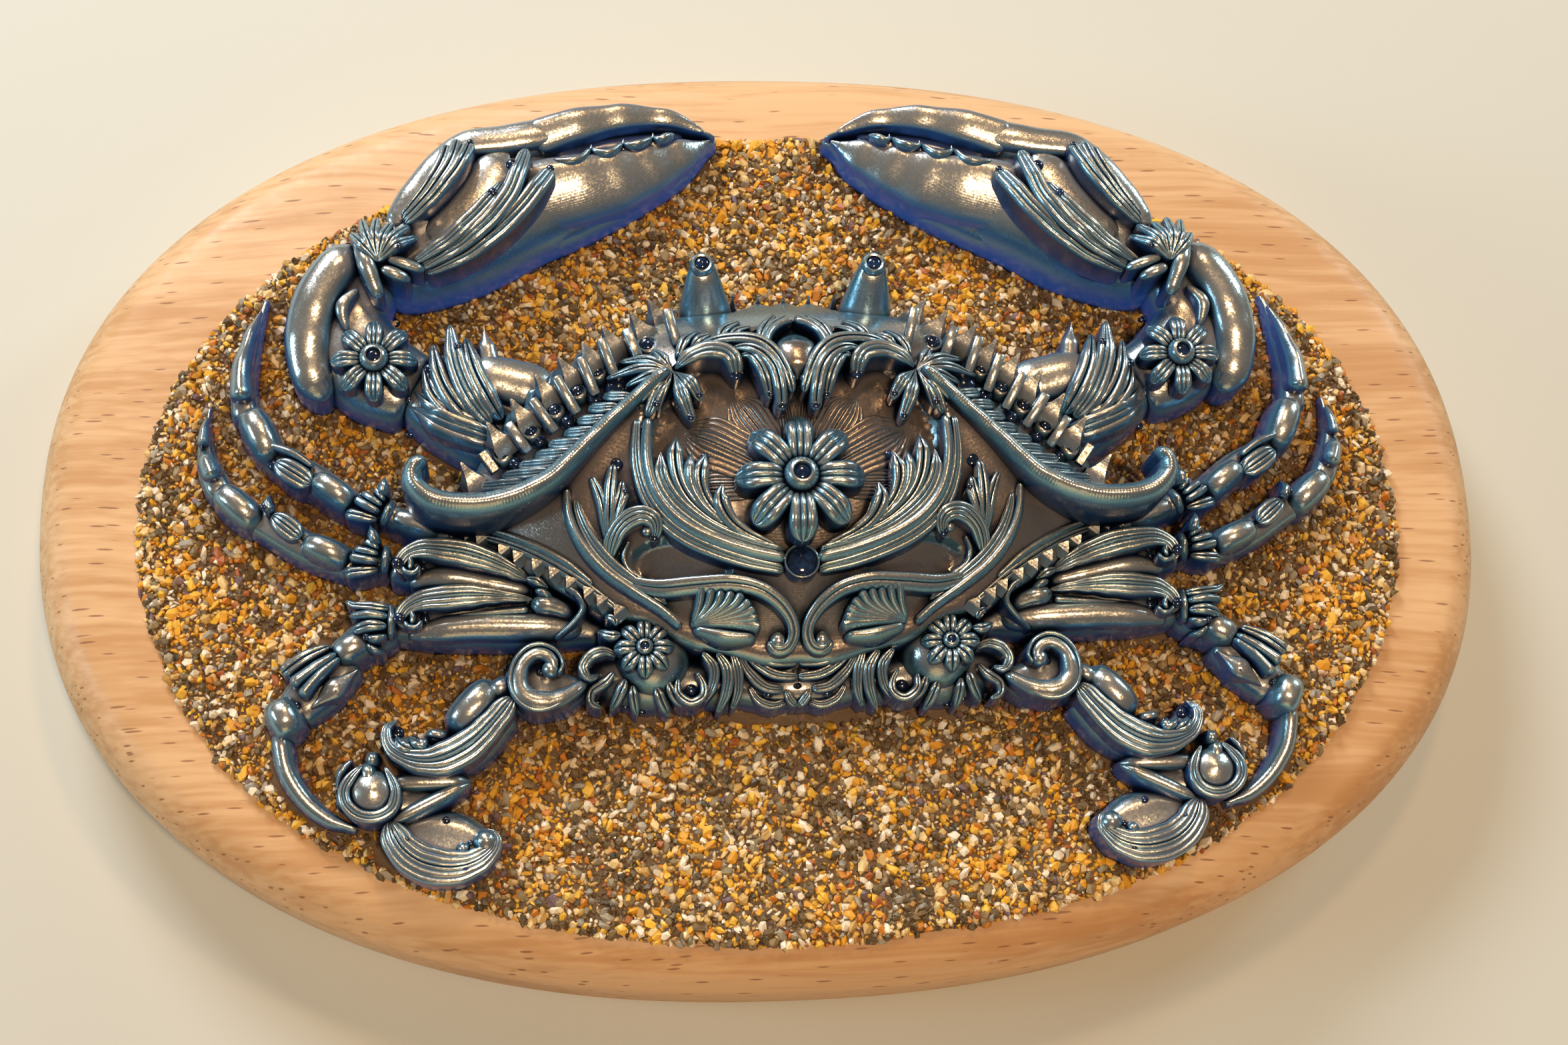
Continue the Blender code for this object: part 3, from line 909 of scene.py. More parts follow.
@dataclass(frozen=True)
class Beech:
    """Pale steamed beech with its short brown flecks."""

    light: Colour = (0.69, 0.42, 0.215)
    dark: Colour = (0.53, 0.275, 0.112)
    fleck: Colour = (0.24, 0.09, 0.03)

    def build(self, speckle: bpy.types.NodeTree) -> Material:
        """Makes the material, with its grain along X.

        Args:
            speckle: The mottling group.

        Returns:
            The material.
        """
        material, graph, shader = new_material("beech")
        place = graph.node("ShaderNodeTexCoord").outputs["Object"]
        sway = graph.node("ShaderNodeTexNoise",
                          {"Vector": place, "Scale": 14.0, "Detail": 2.0}).outputs["Color"]
        bent = graph.vector("ADD", place, graph.vector("SCALE", sway, 0.012))
        rings = graph.node("ShaderNodeTexNoise", {
            "Vector": graph.vector("MULTIPLY", bent, (6, 130, 90)), "Scale": 1.0, "Detail": 3.0})
        fibres = graph.node("ShaderNodeTexNoise", {
            "Vector": graph.vector("MULTIPLY", bent, (60, 1500, 1500)), "Scale": 1.0, "Detail": 2.0})
        dashes = graph.node("ShaderNodeTexVoronoi", {
            "Vector": graph.vector("MULTIPLY", bent, (190, 1700, 1100)), "Scale": 1.0,
            "Randomness": 1.0})
        blend = graph.math("MULTIPLY_ADD", fibres.outputs[0], 0.35,
                           graph.math("MULTIPLY", rings.outputs[0], 0.65))
        colour = graph.mix(graph.ramp(blend, 0.40, 0.62), rgba(self.light), rgba(self.dark))
        flecks = graph.ramp(dashes.outputs["Distance"], 0.20, 0.11)
        colour = graph.mix(graph.math("MULTIPLY", flecks, 0.8), colour, rgba(self.fleck))
        mottle = graph.out("ShaderNodeGroup", {"Scale": 90.0, "Fine": 900.0}, node_tree=speckle)
        height = graph.math("SUBTRACT", fibres.outputs[0], flecks)
        bump = graph.out("ShaderNodeBump", {"Strength": 0.25, "Distance": 0.0001, "Height": height})
        graph.feed(shader, {"Base Color": colour, "Roughness": graph.ramp(mottle, 0.3, 0.7, 0.42, 0.6),
                            "Normal": bump})
        return material


@dataclass(frozen=True)
class Grit:
    """Crushed coloured sand: ochre, cream, grey and near-black grains, with painted shade between the grains
    and near the casting.
    """

    tones: tuple[tuple[float, Colour], ...] = (
        (0.00, (0.78, 0.34, 0.010)), (0.14, (0.90, 0.50, 0.04)), (0.27, (0.60, 0.18, 0.006)),
        (0.33, (0.84, 0.60, 0.27)), (0.45, (0.58, 0.35, 0.11)), (0.52, (0.08, 0.06, 0.14)),
        (0.54, (0.92, 0.82, 0.64)), (0.67, (0.36, 0.07, 0.02)), (0.69, (0.20, 0.17, 0.11)),
        (0.77, (0.30, 0.29, 0.25)), (0.83, (0.020, 0.024, 0.024)))
    shadow_reach: float = 0.005
    shade: Colour = (0.110, 0.052, 0.014)

    def build(self, speckle: bpy.types.NodeTree) -> Material:
        """Makes the material, which reads each grain's `tone`.

        Args:
            speckle: The mottling group.

        Returns:
            The material.
        """
        material, graph, shader = new_material("coarse_sand")
        tone = graph.node("ShaderNodeAttribute", attribute_name="tone").outputs["Fac"]
        ramp = graph.node("ShaderNodeValToRGB", {0: tone})
        ramp.color_ramp.interpolation = "CONSTANT"
        stops = ramp.color_ramp.elements
        while len(stops) < len(self.tones):
            stops.new(1.0)
        for stop, (place, colour) in zip(stops, self.tones):
            stop.position = place
            stop.color = rgba(colour)
        mottle = graph.out("ShaderNodeGroup", {"Scale": 900.0, "Fine": 6000.0}, node_tree=speckle)
        shade = graph.ramp(mottle, 0.3, 0.7, 0.0, 0.45)
        colour = graph.mix(shade, ramp.outputs[0], (0.50, 0.27, 0.06, 1))
        # Painted shade: grains darken where others crowd them and near the casting; the bare ground has no
        # tone and gets the shade colour throughout.
        near = graph.node("ShaderNodeAmbientOcclusion", {"Distance": self.shadow_reach}, samples=4)
        painted_shade = graph.ramp(near.outputs["AO"], 0.60, 0.25, 0.0, 0.75)
        painted_shade = graph.math("MAXIMUM", painted_shade, graph.math("LESS_THAN", tone, 0.005))
        colour = graph.mix(painted_shade, colour, rgba(self.shade))
        graph.feed(shader, {"Base Color": colour, "Roughness": graph.ramp(mottle, 0.3, 0.7, 0.3, 0.7)})
        return material


# --- The workshop: carves, stamps and finishes pieces ---


class Workshop:
    """Holds the frame's layout, the trees and the finishes, and finishes pieces."""

    def __init__(self) -> None:
        """Measures the frame and builds the trees and the materials."""
        sand_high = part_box("sand_bed")[1]
        rosette_low, rosette_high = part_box("centre_rosette")
        self.origin = Vector((0.0, 0.5 * (rosette_low.y + rosette_high.y), sand_high.z))
        self.flutes = flute_tree()
        self.stamps = stamp_tree()
        self.grains = sand_tree()
        speckle = speckle_group()
        self.resin = LustredResin().build(speckle)
        self.bubble = BubbleGloss().build(speckle)
        self.beech = Beech().build(speckle)
        self.grit = Grit().build(speckle)
        self.ball = dome()
        # Near-black discs of painted shade, gathered from every part.
        self.hollows: list[Object] = []

    def millimetres(self, point: Vector) -> Vector:
        """A point of the frame in the layout's millimetres."""
        return (point - self.origin) / MM

    def carve(self, strokes: Sequence[Stroke], ground: Ground) -> list[Object]:
        """Sweeps strokes with the flute tree.

        Args:
            strokes: The strokes.
            ground: Height of the surface under them.

        Returns:
            One object for each number of ridges.
        """
        made = []
        for ridges in sorted({stroke.ridges for stroke in strokes}):
            rows, edges = [], []
            for stroke in strokes:
                if stroke.ridges != ridges:
                    continue
                rail = stroke.rail(ground)
                edges += [(len(rows) + i, len(rows) + i + 1) for i in range(len(rail) - 1)]
                rows += rail
            mesh = bpy.data.meshes.new("rails")
            mesh.from_pydata([row[0] for row in rows], edges, [])
            set_attribute(mesh, "across", "FLOAT_VECTOR", [row[1] for row in rows])
            for place, name in ((2, "rise"), (3, "flute"), (4, "foot"), (5, "along")):
                set_attribute(mesh, name, "FLOAT", [row[place] for row in rows])
            made.append(applied(new_object("rails", mesh), self.flutes, Ridges=ridges,
                                Samples=12 if ridges == 1 else 7, Material=self.resin))
        return made

    def dig(self, stamps: Sequence[Stamp]) -> None:
        """Stamps the near-black ball on places, as painted shade in holes and undercuts, for the piece of
        shaded hollows.
        """
        self.hollows.append(self.stamp(self.ball, stamps, self.bubble))

    def stamp(self, template: Object, stamps: Sequence[Stamp],
              material: Material | None = None) -> Object:
        """Stamps a template on every place; the template stays.

        Args:
            template: The object to stamp.
            stamps: The places.
            material: The finish; the resin unless it is given.

        Returns:
            The stamps as one object.
        """
        mesh = bpy.data.meshes.new("places")
        mesh.from_pydata([(s.x, s.y, s.z) for s in stamps], [], [])
        set_attribute(mesh, "turn", "FLOAT_VECTOR", [s.turn for s in stamps])
        set_attribute(mesh, "size", "FLOAT_VECTOR", [s.size for s in stamps])
        return applied(new_object("places", mesh), self.stamps, Template=template,
                       Material=material or self.resin)

    def finish(self, name: str, items: Sequence[Object], material: Material | None = None,
               slot: str = "lustred_resin", replaces: Sequence[str] = (), sharp: float = 42.0,
               loose: bool = False) -> None:
        """Args:
            name: The piece's name.
            items: Its meshes, in the layout's millimetres.
            material: Its finish; the resin unless it is given.
            slot: A material slot's name; it is not used.
            replaces: CAD nodes that it stands for.
            sharp: Edges bent more than this many degrees stay sharp.
            loose: Whether it is separate grains, which are shaded flat and already face outwards.
        """
        piece = joined(items, name)
        mesh = piece.data
        if not loose:
            shape = bmesh.new()
            shape.from_mesh(mesh)
            bmesh.ops.recalc_face_normals(shape, faces=shape.faces)
            shape.to_mesh(mesh)
            shape.free()
        mesh.transform(Matrix.Translation(self.origin) @ Matrix.Scale(MM, 4))
        mesh.materials.clear()
        mesh.materials.append(material or self.resin)
        mesh.polygons.foreach_set("material_index", [0] * len(mesh.polygons))
        mesh.polygons.foreach_set("use_smooth", [not loose] * len(mesh.polygons))
        if not loose:
            mesh.set_sharp_from_angle(angle=math.radians(sharp))
        for spare in ("u", "wall", "centre", "across", "rise", "flute", "foot", "turn", "size"):
            if spare in mesh.attributes:
                mesh.attributes.remove(mesh.attributes[spare])
        mesh.update()
        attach(piece, "root")
        if replaces:
            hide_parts(*replaces)
        LOG.info("%s: %d faces", name, len(mesh.polygons))

    def pair(self, name: str, items: Sequence[Object], replaces: Sequence[str] = (),
             **options: object) -> None:
        """Finishes a right-hand piece and its mirror image; `replaces` names nodes without their side.

        Args:
            name: The pieces' name without their side.
            items: The right-hand meshes.
            replaces: CAD nodes without their side.
            **options: Passed on to `finish`.
        """
        right = joined(items, name)
        left = mirrored(right, name)
        for item, side in ((right, Side.RIGHT), (left, Side.LEFT)):
            self.finish(f"{name}_{side.word}", [item], replaces=[f"{node}_{side.word}" for node in replaces],
                        **options)


# --- Board and sand ---


def superellipse(half_length: float, half_width: float, squareness: float, count: int,
                 centre_y: float, z: float) -> list[Vector]:
    """Points round an oval that is fuller than an ellipse, at one level.

    Args:
        half_length: Half of its length.
        half_width: Half of its width.
        squareness: 2 for an ellipse, more for a fuller oval.
        count: Number of points.
        centre_y: Its middle's y.
        z: Its level.

    Returns:
        The points.
    """
    points = []
    for i in range(count):
        c, s = math.cos(math.tau * i / count), math.sin(math.tau * i / count)
        reach = (abs(c) ** squareness + abs(s) ** squareness) ** (-1.0 / squareness)
        points.append(Vector((half_length * reach * c, half_width * reach * s + centre_y, z)))
    return points


@dataclass
class Board:
    """The turned oval board, measured from the frame."""

    squareness: float = 2.25
    corners: int = 200
    edge: tuple[Point2, ...] = ((1.6, 0), (0.5, 0.6), (0, 1.8), (0, 8.6), (0.5, 10.8), (1.6, 12.6),
                                (3.2, 13.7), (5, 14))

    def build(self, shop: Workshop) -> None:
        """Makes the board with a rounded rim.

        Args:
            shop: The workshop.
        """
        low, high = (shop.millimetres(corner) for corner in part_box("base_board"))
        half = 0.5 * (high - low)
        rings = []
        for inset, height in spline(self.edge, 5):
            inset, height = max(inset, 0.0), min(max(height, 0.0), 2.0 * half.z)
            rings.append(superellipse(half.x - inset, half.y - inset, self.squareness, self.corners,
                                      0.5 * (low.y + high.y), low.z + height))
        board = ring_mesh("board", rings)
        shop.finish("beech_board", [board], shop.beech, slot="beech", replaces=["base_board"], sharp=60.0)


@dataclass
class SandBed:
    """The glued bed of crushed sand: a lumpy ground and patches of grains."""

    squareness: float = 2.15
    thickness: float = 0.9
    corners: int = 240
    lumps: tuple[int, ...] = (3, 5, 8, 13, 21, 34, 55)
    shape_seed: int = 7
    grain_seed: int = 11
    spacing: float = 0.30
    density: float = 18.0
    smallest: float = 0.50
    largest: float = 1.50
    patch_edges: Profile = (-70, -42, -24, 0, 24, 42, 70)

    def build(self, shop: Workshop, casting: Object) -> None:
        """Makes the ground and its grains around the casting, which keeps its place clear.

        Args:
            shop: The workshop.
            casting: The solid that the grains keep away from.
        """
        low, high = (shop.millimetres(corner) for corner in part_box("sand_bed"))
        half = 0.5 * (high - low)
        centre_y = 0.5 * (low.y + high.y)
        draw = random.Random(self.shape_seed)
        wobble = [(draw.uniform(0.1, 0.35), draw.uniform(0.0, math.tau), k) for k in self.lumps]

        def ring(inset: float, z: float) -> list[Vector]:
            """An uneven oval at one level.

            Args:
                inset: How far it is drawn in.
                z: Its level.

            Returns:
                Its points.
            """
            points = superellipse(half.x - inset, half.y - inset, self.squareness, self.corners,
                                  centre_y, z)
            for i, point in enumerate(points):
                angle = math.tau * i / self.corners
                shift = sum(size * math.sin(k * angle + phase) for size, phase, k in wobble) / 2.2 - 0.4
                point.x += shift * math.cos(angle)
                point.y += shift * math.sin(angle)
            return points

        rings = [ring(0.0, -self.thickness), ring(0.2, -0.55), ring(0.8, -0.3), ring(2, -0.22)]
        rings += [ring(inset, -0.22) for inset in (6, 12, 20, 30, 38)]
        # The ground has no tone, so the grit paints it all in its shade colour: painted shade between the
        # grains.
        ground = ring_mesh("ground", rings)
        edges = self.patch_edges
        for i, (start, end) in enumerate(zip(edges, edges[1:])):
            base = new_object("base", ground.data.copy())
            grains = applied(base, shop.grains, Casting=casting, Spacing=self.spacing,
                             Density=self.density, Smallest=self.smallest, Largest=self.largest,
                             From_X=start, To_X=end, Seed=self.grain_seed + i, Material=shop.grit)
            shop.finish(f"sand_grains_{i + 1}", [grains], shop.grit, slot="coarse_sand", loose=True)
        shop.finish("sand_ground", [ground], shop.grit, slot="coarse_sand", replaces=["sand_bed"])


# --- The shell ---


@dataclass
class Shell:
    """The vaulted shell and the grounds of its carved panels."""

    rim: float = 4.2
    crown: float = 15.6
    ridge_y: float = 6.0
    half_span: float = 33.0
    front_reach: float = 15.5
    rear_reach: float = 24.0
    swell: float = 1.15
    core: Point2 = (25, 13)
    hub_y: float = 3.0
    spike_row: tuple[Point2, Point2] = ((12.4, 17.2), (28.4, 5))
    spike_count: int = 7
    spike_bulge: float = 1.3
    spike_length: float = 1.1
    front_teeth_x: Point2 = (0, 2.5)
    side: tuple[Point2, ...] = (
        (29.6, 3), (30, 0.5), (30.2, -2.8), (26.8, -5.2), (23.4, -6.9), (20.6, -8.4), (17.9, -10.1),
        (15.9, -10.9), (14, -11.2), (11.6, -12.6), (9.4, -13.6), (6, -14.3), (3, -15.2), (0, -15))
    medallion: Point3 = (3.4, 14.7, 11.7)  # centre y and half axes
    medallion_depth: float = 2.5
    kidney: tuple[float, float, float, float] = (10.6, -6.7, 4.9, 2.3)
    field_depth: float = 0.7
    frill_depth: float = 1.5
    ring_count: int = 61

    def height(self, x: float, y: float) -> float:
        """Height of the vault, without its panels.

        Args:
            x: Place to the right.
            y: Place forwards.

        Returns:
            The height.
        """
        if y > self.ridge_y:
            along = ((y - self.ridge_y) / self.front_reach) ** 3
        else:
            along = ((self.ridge_y - y) / self.rear_reach) ** 2
        fullness = max(0.0, 1.0 - (x / self.half_span) ** 2 - along)
        return self.rim + (self.crown - self.rim) * fullness ** self.swell

    def ground(self, x: float, y: float) -> float:
        """Height of the vault with its sunken panels.

        Args:
            x: Place to the right.
            y: Place forwards.

        Returns:
            The height.
        """
        x = abs(x)
        centre_y, half_x, half_y = self.medallion
        oval = math.hypot(x / half_x, (y - centre_y) / half_y)
        depth = self.medallion_depth * (1.0 - smoothstep(0.86, 0.98, oval))
        kx, ky, kw, kh = self.kidney
        bean = math.hypot((x - kx) / kw, (y - ky - 0.12 * (x - kx)) / kh)
        depth = max(depth, 1.7 * (1.0 - smoothstep(0.8, 1.05, bean)))
        field_oval = math.hypot(x / 20.5, (y + 2.0) / 13.0)
        depth = max(depth, self.field_depth * (1.0 - smoothstep(0.82, 1.0, field_oval)))
        scroll = y - self.scroll_line(x)
        if x > 12.0:
            depth = max(depth, self.frill_depth * smoothstep(0.2, 1.2, scroll) * smoothstep(12.0, 15.0, x))
        return self.height(x, y) - depth

    @staticmethod
    def scroll_line(x: float) -> float:
        """The y of the horn scroll's middle at x."""
        return blend_along((10.6, 5.6, 1.2, -0.9, -1.3), (x - 12.0) / 20.0)

    def outline(self) -> list[Point2]:
        """The rim, with its teeth and spikes, going clockwise from the middle front tooth.

        Returns:
            Its points, about half a millimetre apart.
        """
        half: list[Point2] = []
        for x in self.front_teeth_x:
            half += [(x, 19.9 - 0.1 * x), (x + 1.25, 18.7 - 0.1 * x)]
        half += [(5.2, 17.6), (9.9, 17.4)]
        (x0, y0), (x1, y1) = self.spike_row
        length = math.hypot(x1 - x0, y1 - y0)
        for i in range(2 * self.spike_count + 1):
            t = i / (2 * self.spike_count)
            reach = self.spike_bulge * math.sin(math.pi * t) + (self.spike_length if i % 2 else 0.0)
            half.append((x0 + (x1 - x0) * t + (y0 - y1) / length * reach,
                         y0 + (y1 - y0) * t + (x1 - x0) / length * reach))
        half += self.side
        corners = half + [(-x, y) for x, y in reversed(half) if x > 0.0]
        points = []
        for start, end in zip(corners, corners[1:] + corners[:1]):
            steps = max(1, round(math.dist(start, end) / 0.5))
            points += [(start[0] + (end[0] - start[0]) * i / steps,
                        start[1] + (end[1] - start[1]) * i / steps) for i in range(steps)]
        return points

    def build(self) -> Object:
        """Makes the vaulted solid, finely enough for its panels to show.

        Returns:
            The solid.
        """
        outline = self.outline()

        def ring(fraction: float) -> list[Point2]:
            """The rim drawn in towards the hub, easing to an ellipse.

            Args:
                fraction: Its share of the way out from the hub.

            Returns:
                Its points.
            """
            points = []
            for x, y in outline:
                rim = math.hypot(x, y - self.hub_y)
                c, s = x / rim, (y - self.hub_y) / rim
                core = 1.0 / math.hypot(c / self.core[0], s / self.core[1])
                reach = fraction * (core + (rim - core) * fraction ** 2)
                points.append((c * reach, self.hub_y + s * reach))
            return points

        rings = [[Vector((x, y, SAND_FOOT)) for x, y in outline]]
        for fraction, ease in ((1, 1.2), (0.998, 0.55), (0.99, 0.2)):
            rings.append([Vector((x, y, self.ground(x, y) - ease)) for x, y in ring(fraction)])
        for i in range(self.ring_count):
            fraction = 0.975 * (1.0 - i / self.ring_count)
            rings.append([Vector((x, y, self.ground(x, y))) for x, y in ring(fraction)])
        # The whole vault is smooth ground, with its painted warm reflection.
        return ring_mesh("shell", rings, ground=1.0)


@dataclass
class ShellCarving:
    """The acanthus scrolls on the shell, right-hand half."""

    shell: Shell

    def medallion(self) -> list[Stroke]:
        """The C-shaped frame and the lobes that run into it.

        Returns:
            The strokes.
        """
        band = [(13.9, 5.8), (14.1, 3), (13.9, 0.8), (13.2, -1.3), (11.9, -3.1), (10, -4.6), (7.5, -5.8),
                (4.5, -6.8), (1.5, -7.4)]
        tall = partial(Stroke, heights=(0.7, 0.5, 0.35, 0.3), depth=3.0, rise=0.35)
        flame = partial(tall, tips=(Tip.POINTED, Tip.ROUND))
        return [
            tall(beside(band, -0.5), (0.9, 1.15, 1.2, 1.2, 1.1, 1), 1),
            tall(beside(band, 0.4), (0.7, 1, 1.2, 1.2, 1.1, 0.9), 3),
            flame([(12.3, 2.6), (12.3, 0.5), (11.4, -1.4), (9.8, -3), (7.6, -4.4), (4.5, -5.6), (1.7, -6.3)],
                  (1.3, 1.4, 1.2, 1, 0.8), 3),
            flame([(10.9, 3.8), (11.1, 2), (10.8, 0), (9.9, -1.7), (8.3, -3.2), (6.6, -4.2), (4.3, -5)],
                  (1.5, 1.5, 1.2, 0.9, 0.6, 0.4), 2),
            flame([(9.6, 2.3), (9.9, 0.5), (9.6, -1), (8.6, -2.5), (6.9, -3.9)], (1.2, 1.2, 1, 0.8, 0.5), 1),
            flame([(8.4, 2.1), (8.9, 0.5), (8.8, -0.8), (8.2, -2.1), (7, -3.4), (5.4, -4.4)],
                  (1.6, 1.5, 1.1, 0.8, 0.5), 2),
            flame([(6.9, -0.6), (7.2, -1.6), (6.9, -2.8), (6, -4), (4.4, -5), (2.2, -5.9)],
                  (1.7, 1.6, 1.2, 0.8, 0.5), 2),
        ]

    def sunburst(self) -> list[Stroke]:
        """The grooved lobes behind the central flower.

        Returns:
            The strokes.
        """
        low = partial(Stroke, heights=(-0.1, -0.08, -0.08, -0.15), depth=0.6, rise=0.06, flute=0.32)
        lobes = ((80, 3, 8.6, 2.8), (54, 3, 10, 4.2), (27, 3, 11.6, 5), (2, 3, 9.5, 3.4))
        strokes = []
        for degrees, start, end, width in lobes:
            c, s = math.cos(math.radians(degrees)), math.sin(math.radians(degrees))
            path = [(r * c - 0.06 * (r - start) * s, r * s) for r in (start, 0.5 * (start + end), end)]
            strokes.append(low(path, (0.5 * width, 0.9 * width, width, 0.7 * width), 10))
        return strokes

    def palmette(self) -> list[Stroke]:
        """The leaflets that spread from the node beside the arch.

        Returns:
            The strokes.
        """
        node = (11, 10.1)
        leaf = partial(Stroke, rise=0.6, depth=1.8, tips=(Tip.POINTED, Tip.ROUND))
        high = (0.9, 0.7, 0.2)
        return [
            leaf([node, (11.9, 11.3), (12.7, 12.7)], (0.5, 1.3, 0.6), 2, high),
            leaf([node, (13.4, 11.4), (15.7, 11.7)], (0.5, 1.2, 0.6), 2, high),
            leaf([node, (14, 10.6), (16.9, 10.2)], (0.5, 1.1, 0.5), 2, high),
            leaf([node, (13.2, 9.7), (15.2, 9.2)], (0.5, 1.2, 0.6), 2, high),
            leaf([node, (12.6, 8.9), (14.4, 7.4)], (0.6, 1.4, 1.2), 3, (0.9, 0.8, 0.6)),
            leaf([node, (12.5, 8), (13.4, 5.9)], (0.6, 1.4, 1), 3, (0.9, 0.7, 0.3)),
            leaf([node, (11.9, 8.2), (12.5, 6.4)], (0.4, 0.8, 0.5), 2, high),
            leaf([node, (9.7, 8.8), (8.6, 7.1)], (0.6, 1.4, 0.9), 3, (0.9, 0.7, -0.2)),
            leaf([node, (10.4, 7.8), (9.4, 5.2)], (0.6, 1.4, 0.9), 3, (0.9, 0.6, -0.3)),
        ]

    def arch(self) -> list[Stroke]:
        """The paired leaves that curl over the top of the medallion and meet in its heart.

        Returns:
            The strokes.
        """
        rib = partial(Stroke, depth=3.2, rise=0.5)
        return [
            rib([(10.8, 10.2), (9.5, 11.2), (8, 11.7), (6.4, 11.4), (5.6, 10.4), (5.4, 8.9)],
                (0.8, 1.7, 2, 1.8, 1.2), 3, (0.9, 1.1, 1.1, 0.9, -0.4)),
            rib([(8.6, 12.4), (7, 12.7), (5, 12.7), (3.2, 12.2), (1.9, 10.9), (1, 9.1), (0.5, 7.4)],
                (0.7, 1.2, 1.3, 1.3, 1.1, 0.9), 2, (0.9, 1.4, 1.5, 1.3, 0.9, 0.3)),
            rib([(6, 11.7), (4.6, 11.7), (3.1, 10.9), (2.1, 9.5), (1.65, 7.6), (1.5, 5.8)],
                (0.6, 1.2, 1.4, 1.3, 1.1), 2, (1, 1.4, 1.2, 0.8, -0.3)),
            rib([(5.2, 10.9), (4.2, 10.9), (3.3, 9.6), (2.8, 8.2), (2.5, 6.9)], (0.5, 1.1, 1.1, 0.8), 2,
                (0.9, 1.2, 0.8, -0.2)),
            rib([(10.6, 11.3), (9.8, 13.2), (8.6, 14.4)], (0.7, 1.1, 0.5), 2, (0.7, 0.9, 0.4)),
            rib([(9.4, 12.2), (8.6, 13.1), (7.4, 13.8)], (0.5, 1, 0.5), 2, (0.7, 0.9, 0.4)),
            rib([(7.1, 12.3), (6.3, 14), (4.7, 15.4)], (0.7, 1.1, 0.5), 2, (0.9, 1, 0.5)),
            rib([(6.2, 12.4), (5.2, 13.8), (3.8, 14.5)], (0.5, 0.9, 0.5), 2, (0.9, 1, 0.5)),
            rib([(3.4, 12.1), (2.8, 13.8), (1.4, 16.2)], (0.7, 1.1, 0.5), 2, (1, 1.1, 0.6)),
            rib([(2.9, 12.3), (2, 14.2), (0.35, 15.8)], (0.6, 0.9, 0.6), 2, (1, 1.2, 0.9)),
            rib([(0.2, 8.4), (1.8, 9.9), (2.7, 11.6), (2.3, 13.3), (1.2, 14.4), (0, 14.8)], (0.7, 0.9, 0.9),
                1, (0.5, 0.9, 1.2, 1.5)),
        ]

    @staticmethod
    def heart() -> list[Stroke]:
        """The smooth drop inside the arch."""
        return [Stroke([(0, 13.6), (0, 11.8), (0, 8.7)], (3, 3.9, 3.2, 0.6), 1, (0.1, 0.4, 0.2), 0.55,
                       flute=0.0, depth=2.0)]

    def flanks(self) -> list[Stroke]:
        """The outer band, the kidney scroll, the rear spiral, the sprig and the half leaf.

        Returns:
            The strokes.
        """
        flat = partial(Stroke, depth=2.4, rise=0.35)
        fan_hub = (9.8, -11.9)
        strokes = [
            flat([(20.7, 0.5), (20.5, -2), (19.4, -4.6), (17.5, -6.9), (15, -8.8), (12.4, -10.5),
                  (10.6, -12)], (0.8, 1, 1.1, 1, 0.9, 0.8), 1, (0.3, 0.6, 0.6, 0.5)),
            flat([(19.9, -0.5), (19.5, -2.3), (18.4, -4.6), (16.6, -6.7), (14.2, -8.5), (11.9, -10)],
                 (0.6, 1, 1.3, 1.2, 0.9, 0.5), 3, (0.2, 0.5, 0.55, 0.4)),
            flat([(17.8, -5.5), (16.9, -7), (15.1, -8.1), (12.5, -8.8), (9.5, -8.8), (6.5, -8.8), (4, -9.3),
                  (2.2, -10.3), (1, -11.6), (0.6, -12.9), (1.1, -14), (2.2, -14.2), (2.9, -13.4)],
                 (0.7, 1.3, 1.6, 1.5, 1.3, 1.1, 0.9), 2, (0.2, 0.7, 0.8, 0.7), flute=0.3),
            flat([(17, -6.4), (16.8, -5), (16.2, -3.8), (15.2, -3), (14, -2.8), (13, -3.3), (12.8, -4.2),
                  (13.2, -4.9)], (0.8, 1.7, 1.8, 1.5, 0.8), 4, (0.3, 0.9, 1, 0.4)),
            flat([(15.2, -4.6), (15.7, -5.8), (15.3, -7), (14, -7.9)], (0.4, 0.6, 0.6), 1),
            flat([(16.6, -4.4), (16.3, -3), (15.7, -1.5), (15.2, -0.7)], (0.6, 0.9, 0.9, 0.6), 1,
                 (0.3, 0.8, 0.7)),
            flat([(16.7, -4.6), (16.5, -2.8), (16, -1), (15.7, 0.4)], (0.6, 1.1, 1.1, 0.7), 2,
                 (0.3, 0.9, 0.8)),
            flat([(16.9, -4.6), (16.9, -2.4), (16.8, -0.2), (16.5, 1.9)], (0.6, 1.2, 1.2, 0.8), 2,
                 (0.4, 1, 1)),
            flat([(17.2, -4.4), (17.4, -2.2), (17.8, -0.5), (18.5, 1.1)], (0.5, 1, 1, 0.6), 2,
                 (0.3, 0.8, 0.8)),
            Stroke([(29.4, -1.6), (27.4, -2.2), (25.2, -3.2), (23, -4.4), (20.6, -6), (18.4, -7.8)],
                   (0.4, 0.7, 0.8, 0.8, 0.5), 1, (0.1,), 0.6, depth=1.0),
            Stroke([(30.4, -1.8), (28.2, -2.6), (25.6, -3.7), (23.1, -5.1), (20.7, -6.7), (18.1, -8.6),
                    (16.3, -10)], (0.4, 0.8, 0.9, 0.9, 0.6), 2, (0.05,), 0.5, depth=1.0),
        ]
        ribs = [(8.9, -8.9), (8, -9.1), (7.1, -9.3), (6.2, -9.4), (5.3, -9.6), (4.6, -10.2), (4.1, -10.9),
                (3.8, -11.7), (3.6, -12.5)]
        for x, y in ribs:
            middle = (0.42 * x + 0.58 * fan_hub[0], 0.2 * y + 0.8 * fan_hub[1])
            bend = (0.82 * x + 0.18 * fan_hub[0], 0.55 * y + 0.45 * fan_hub[1])
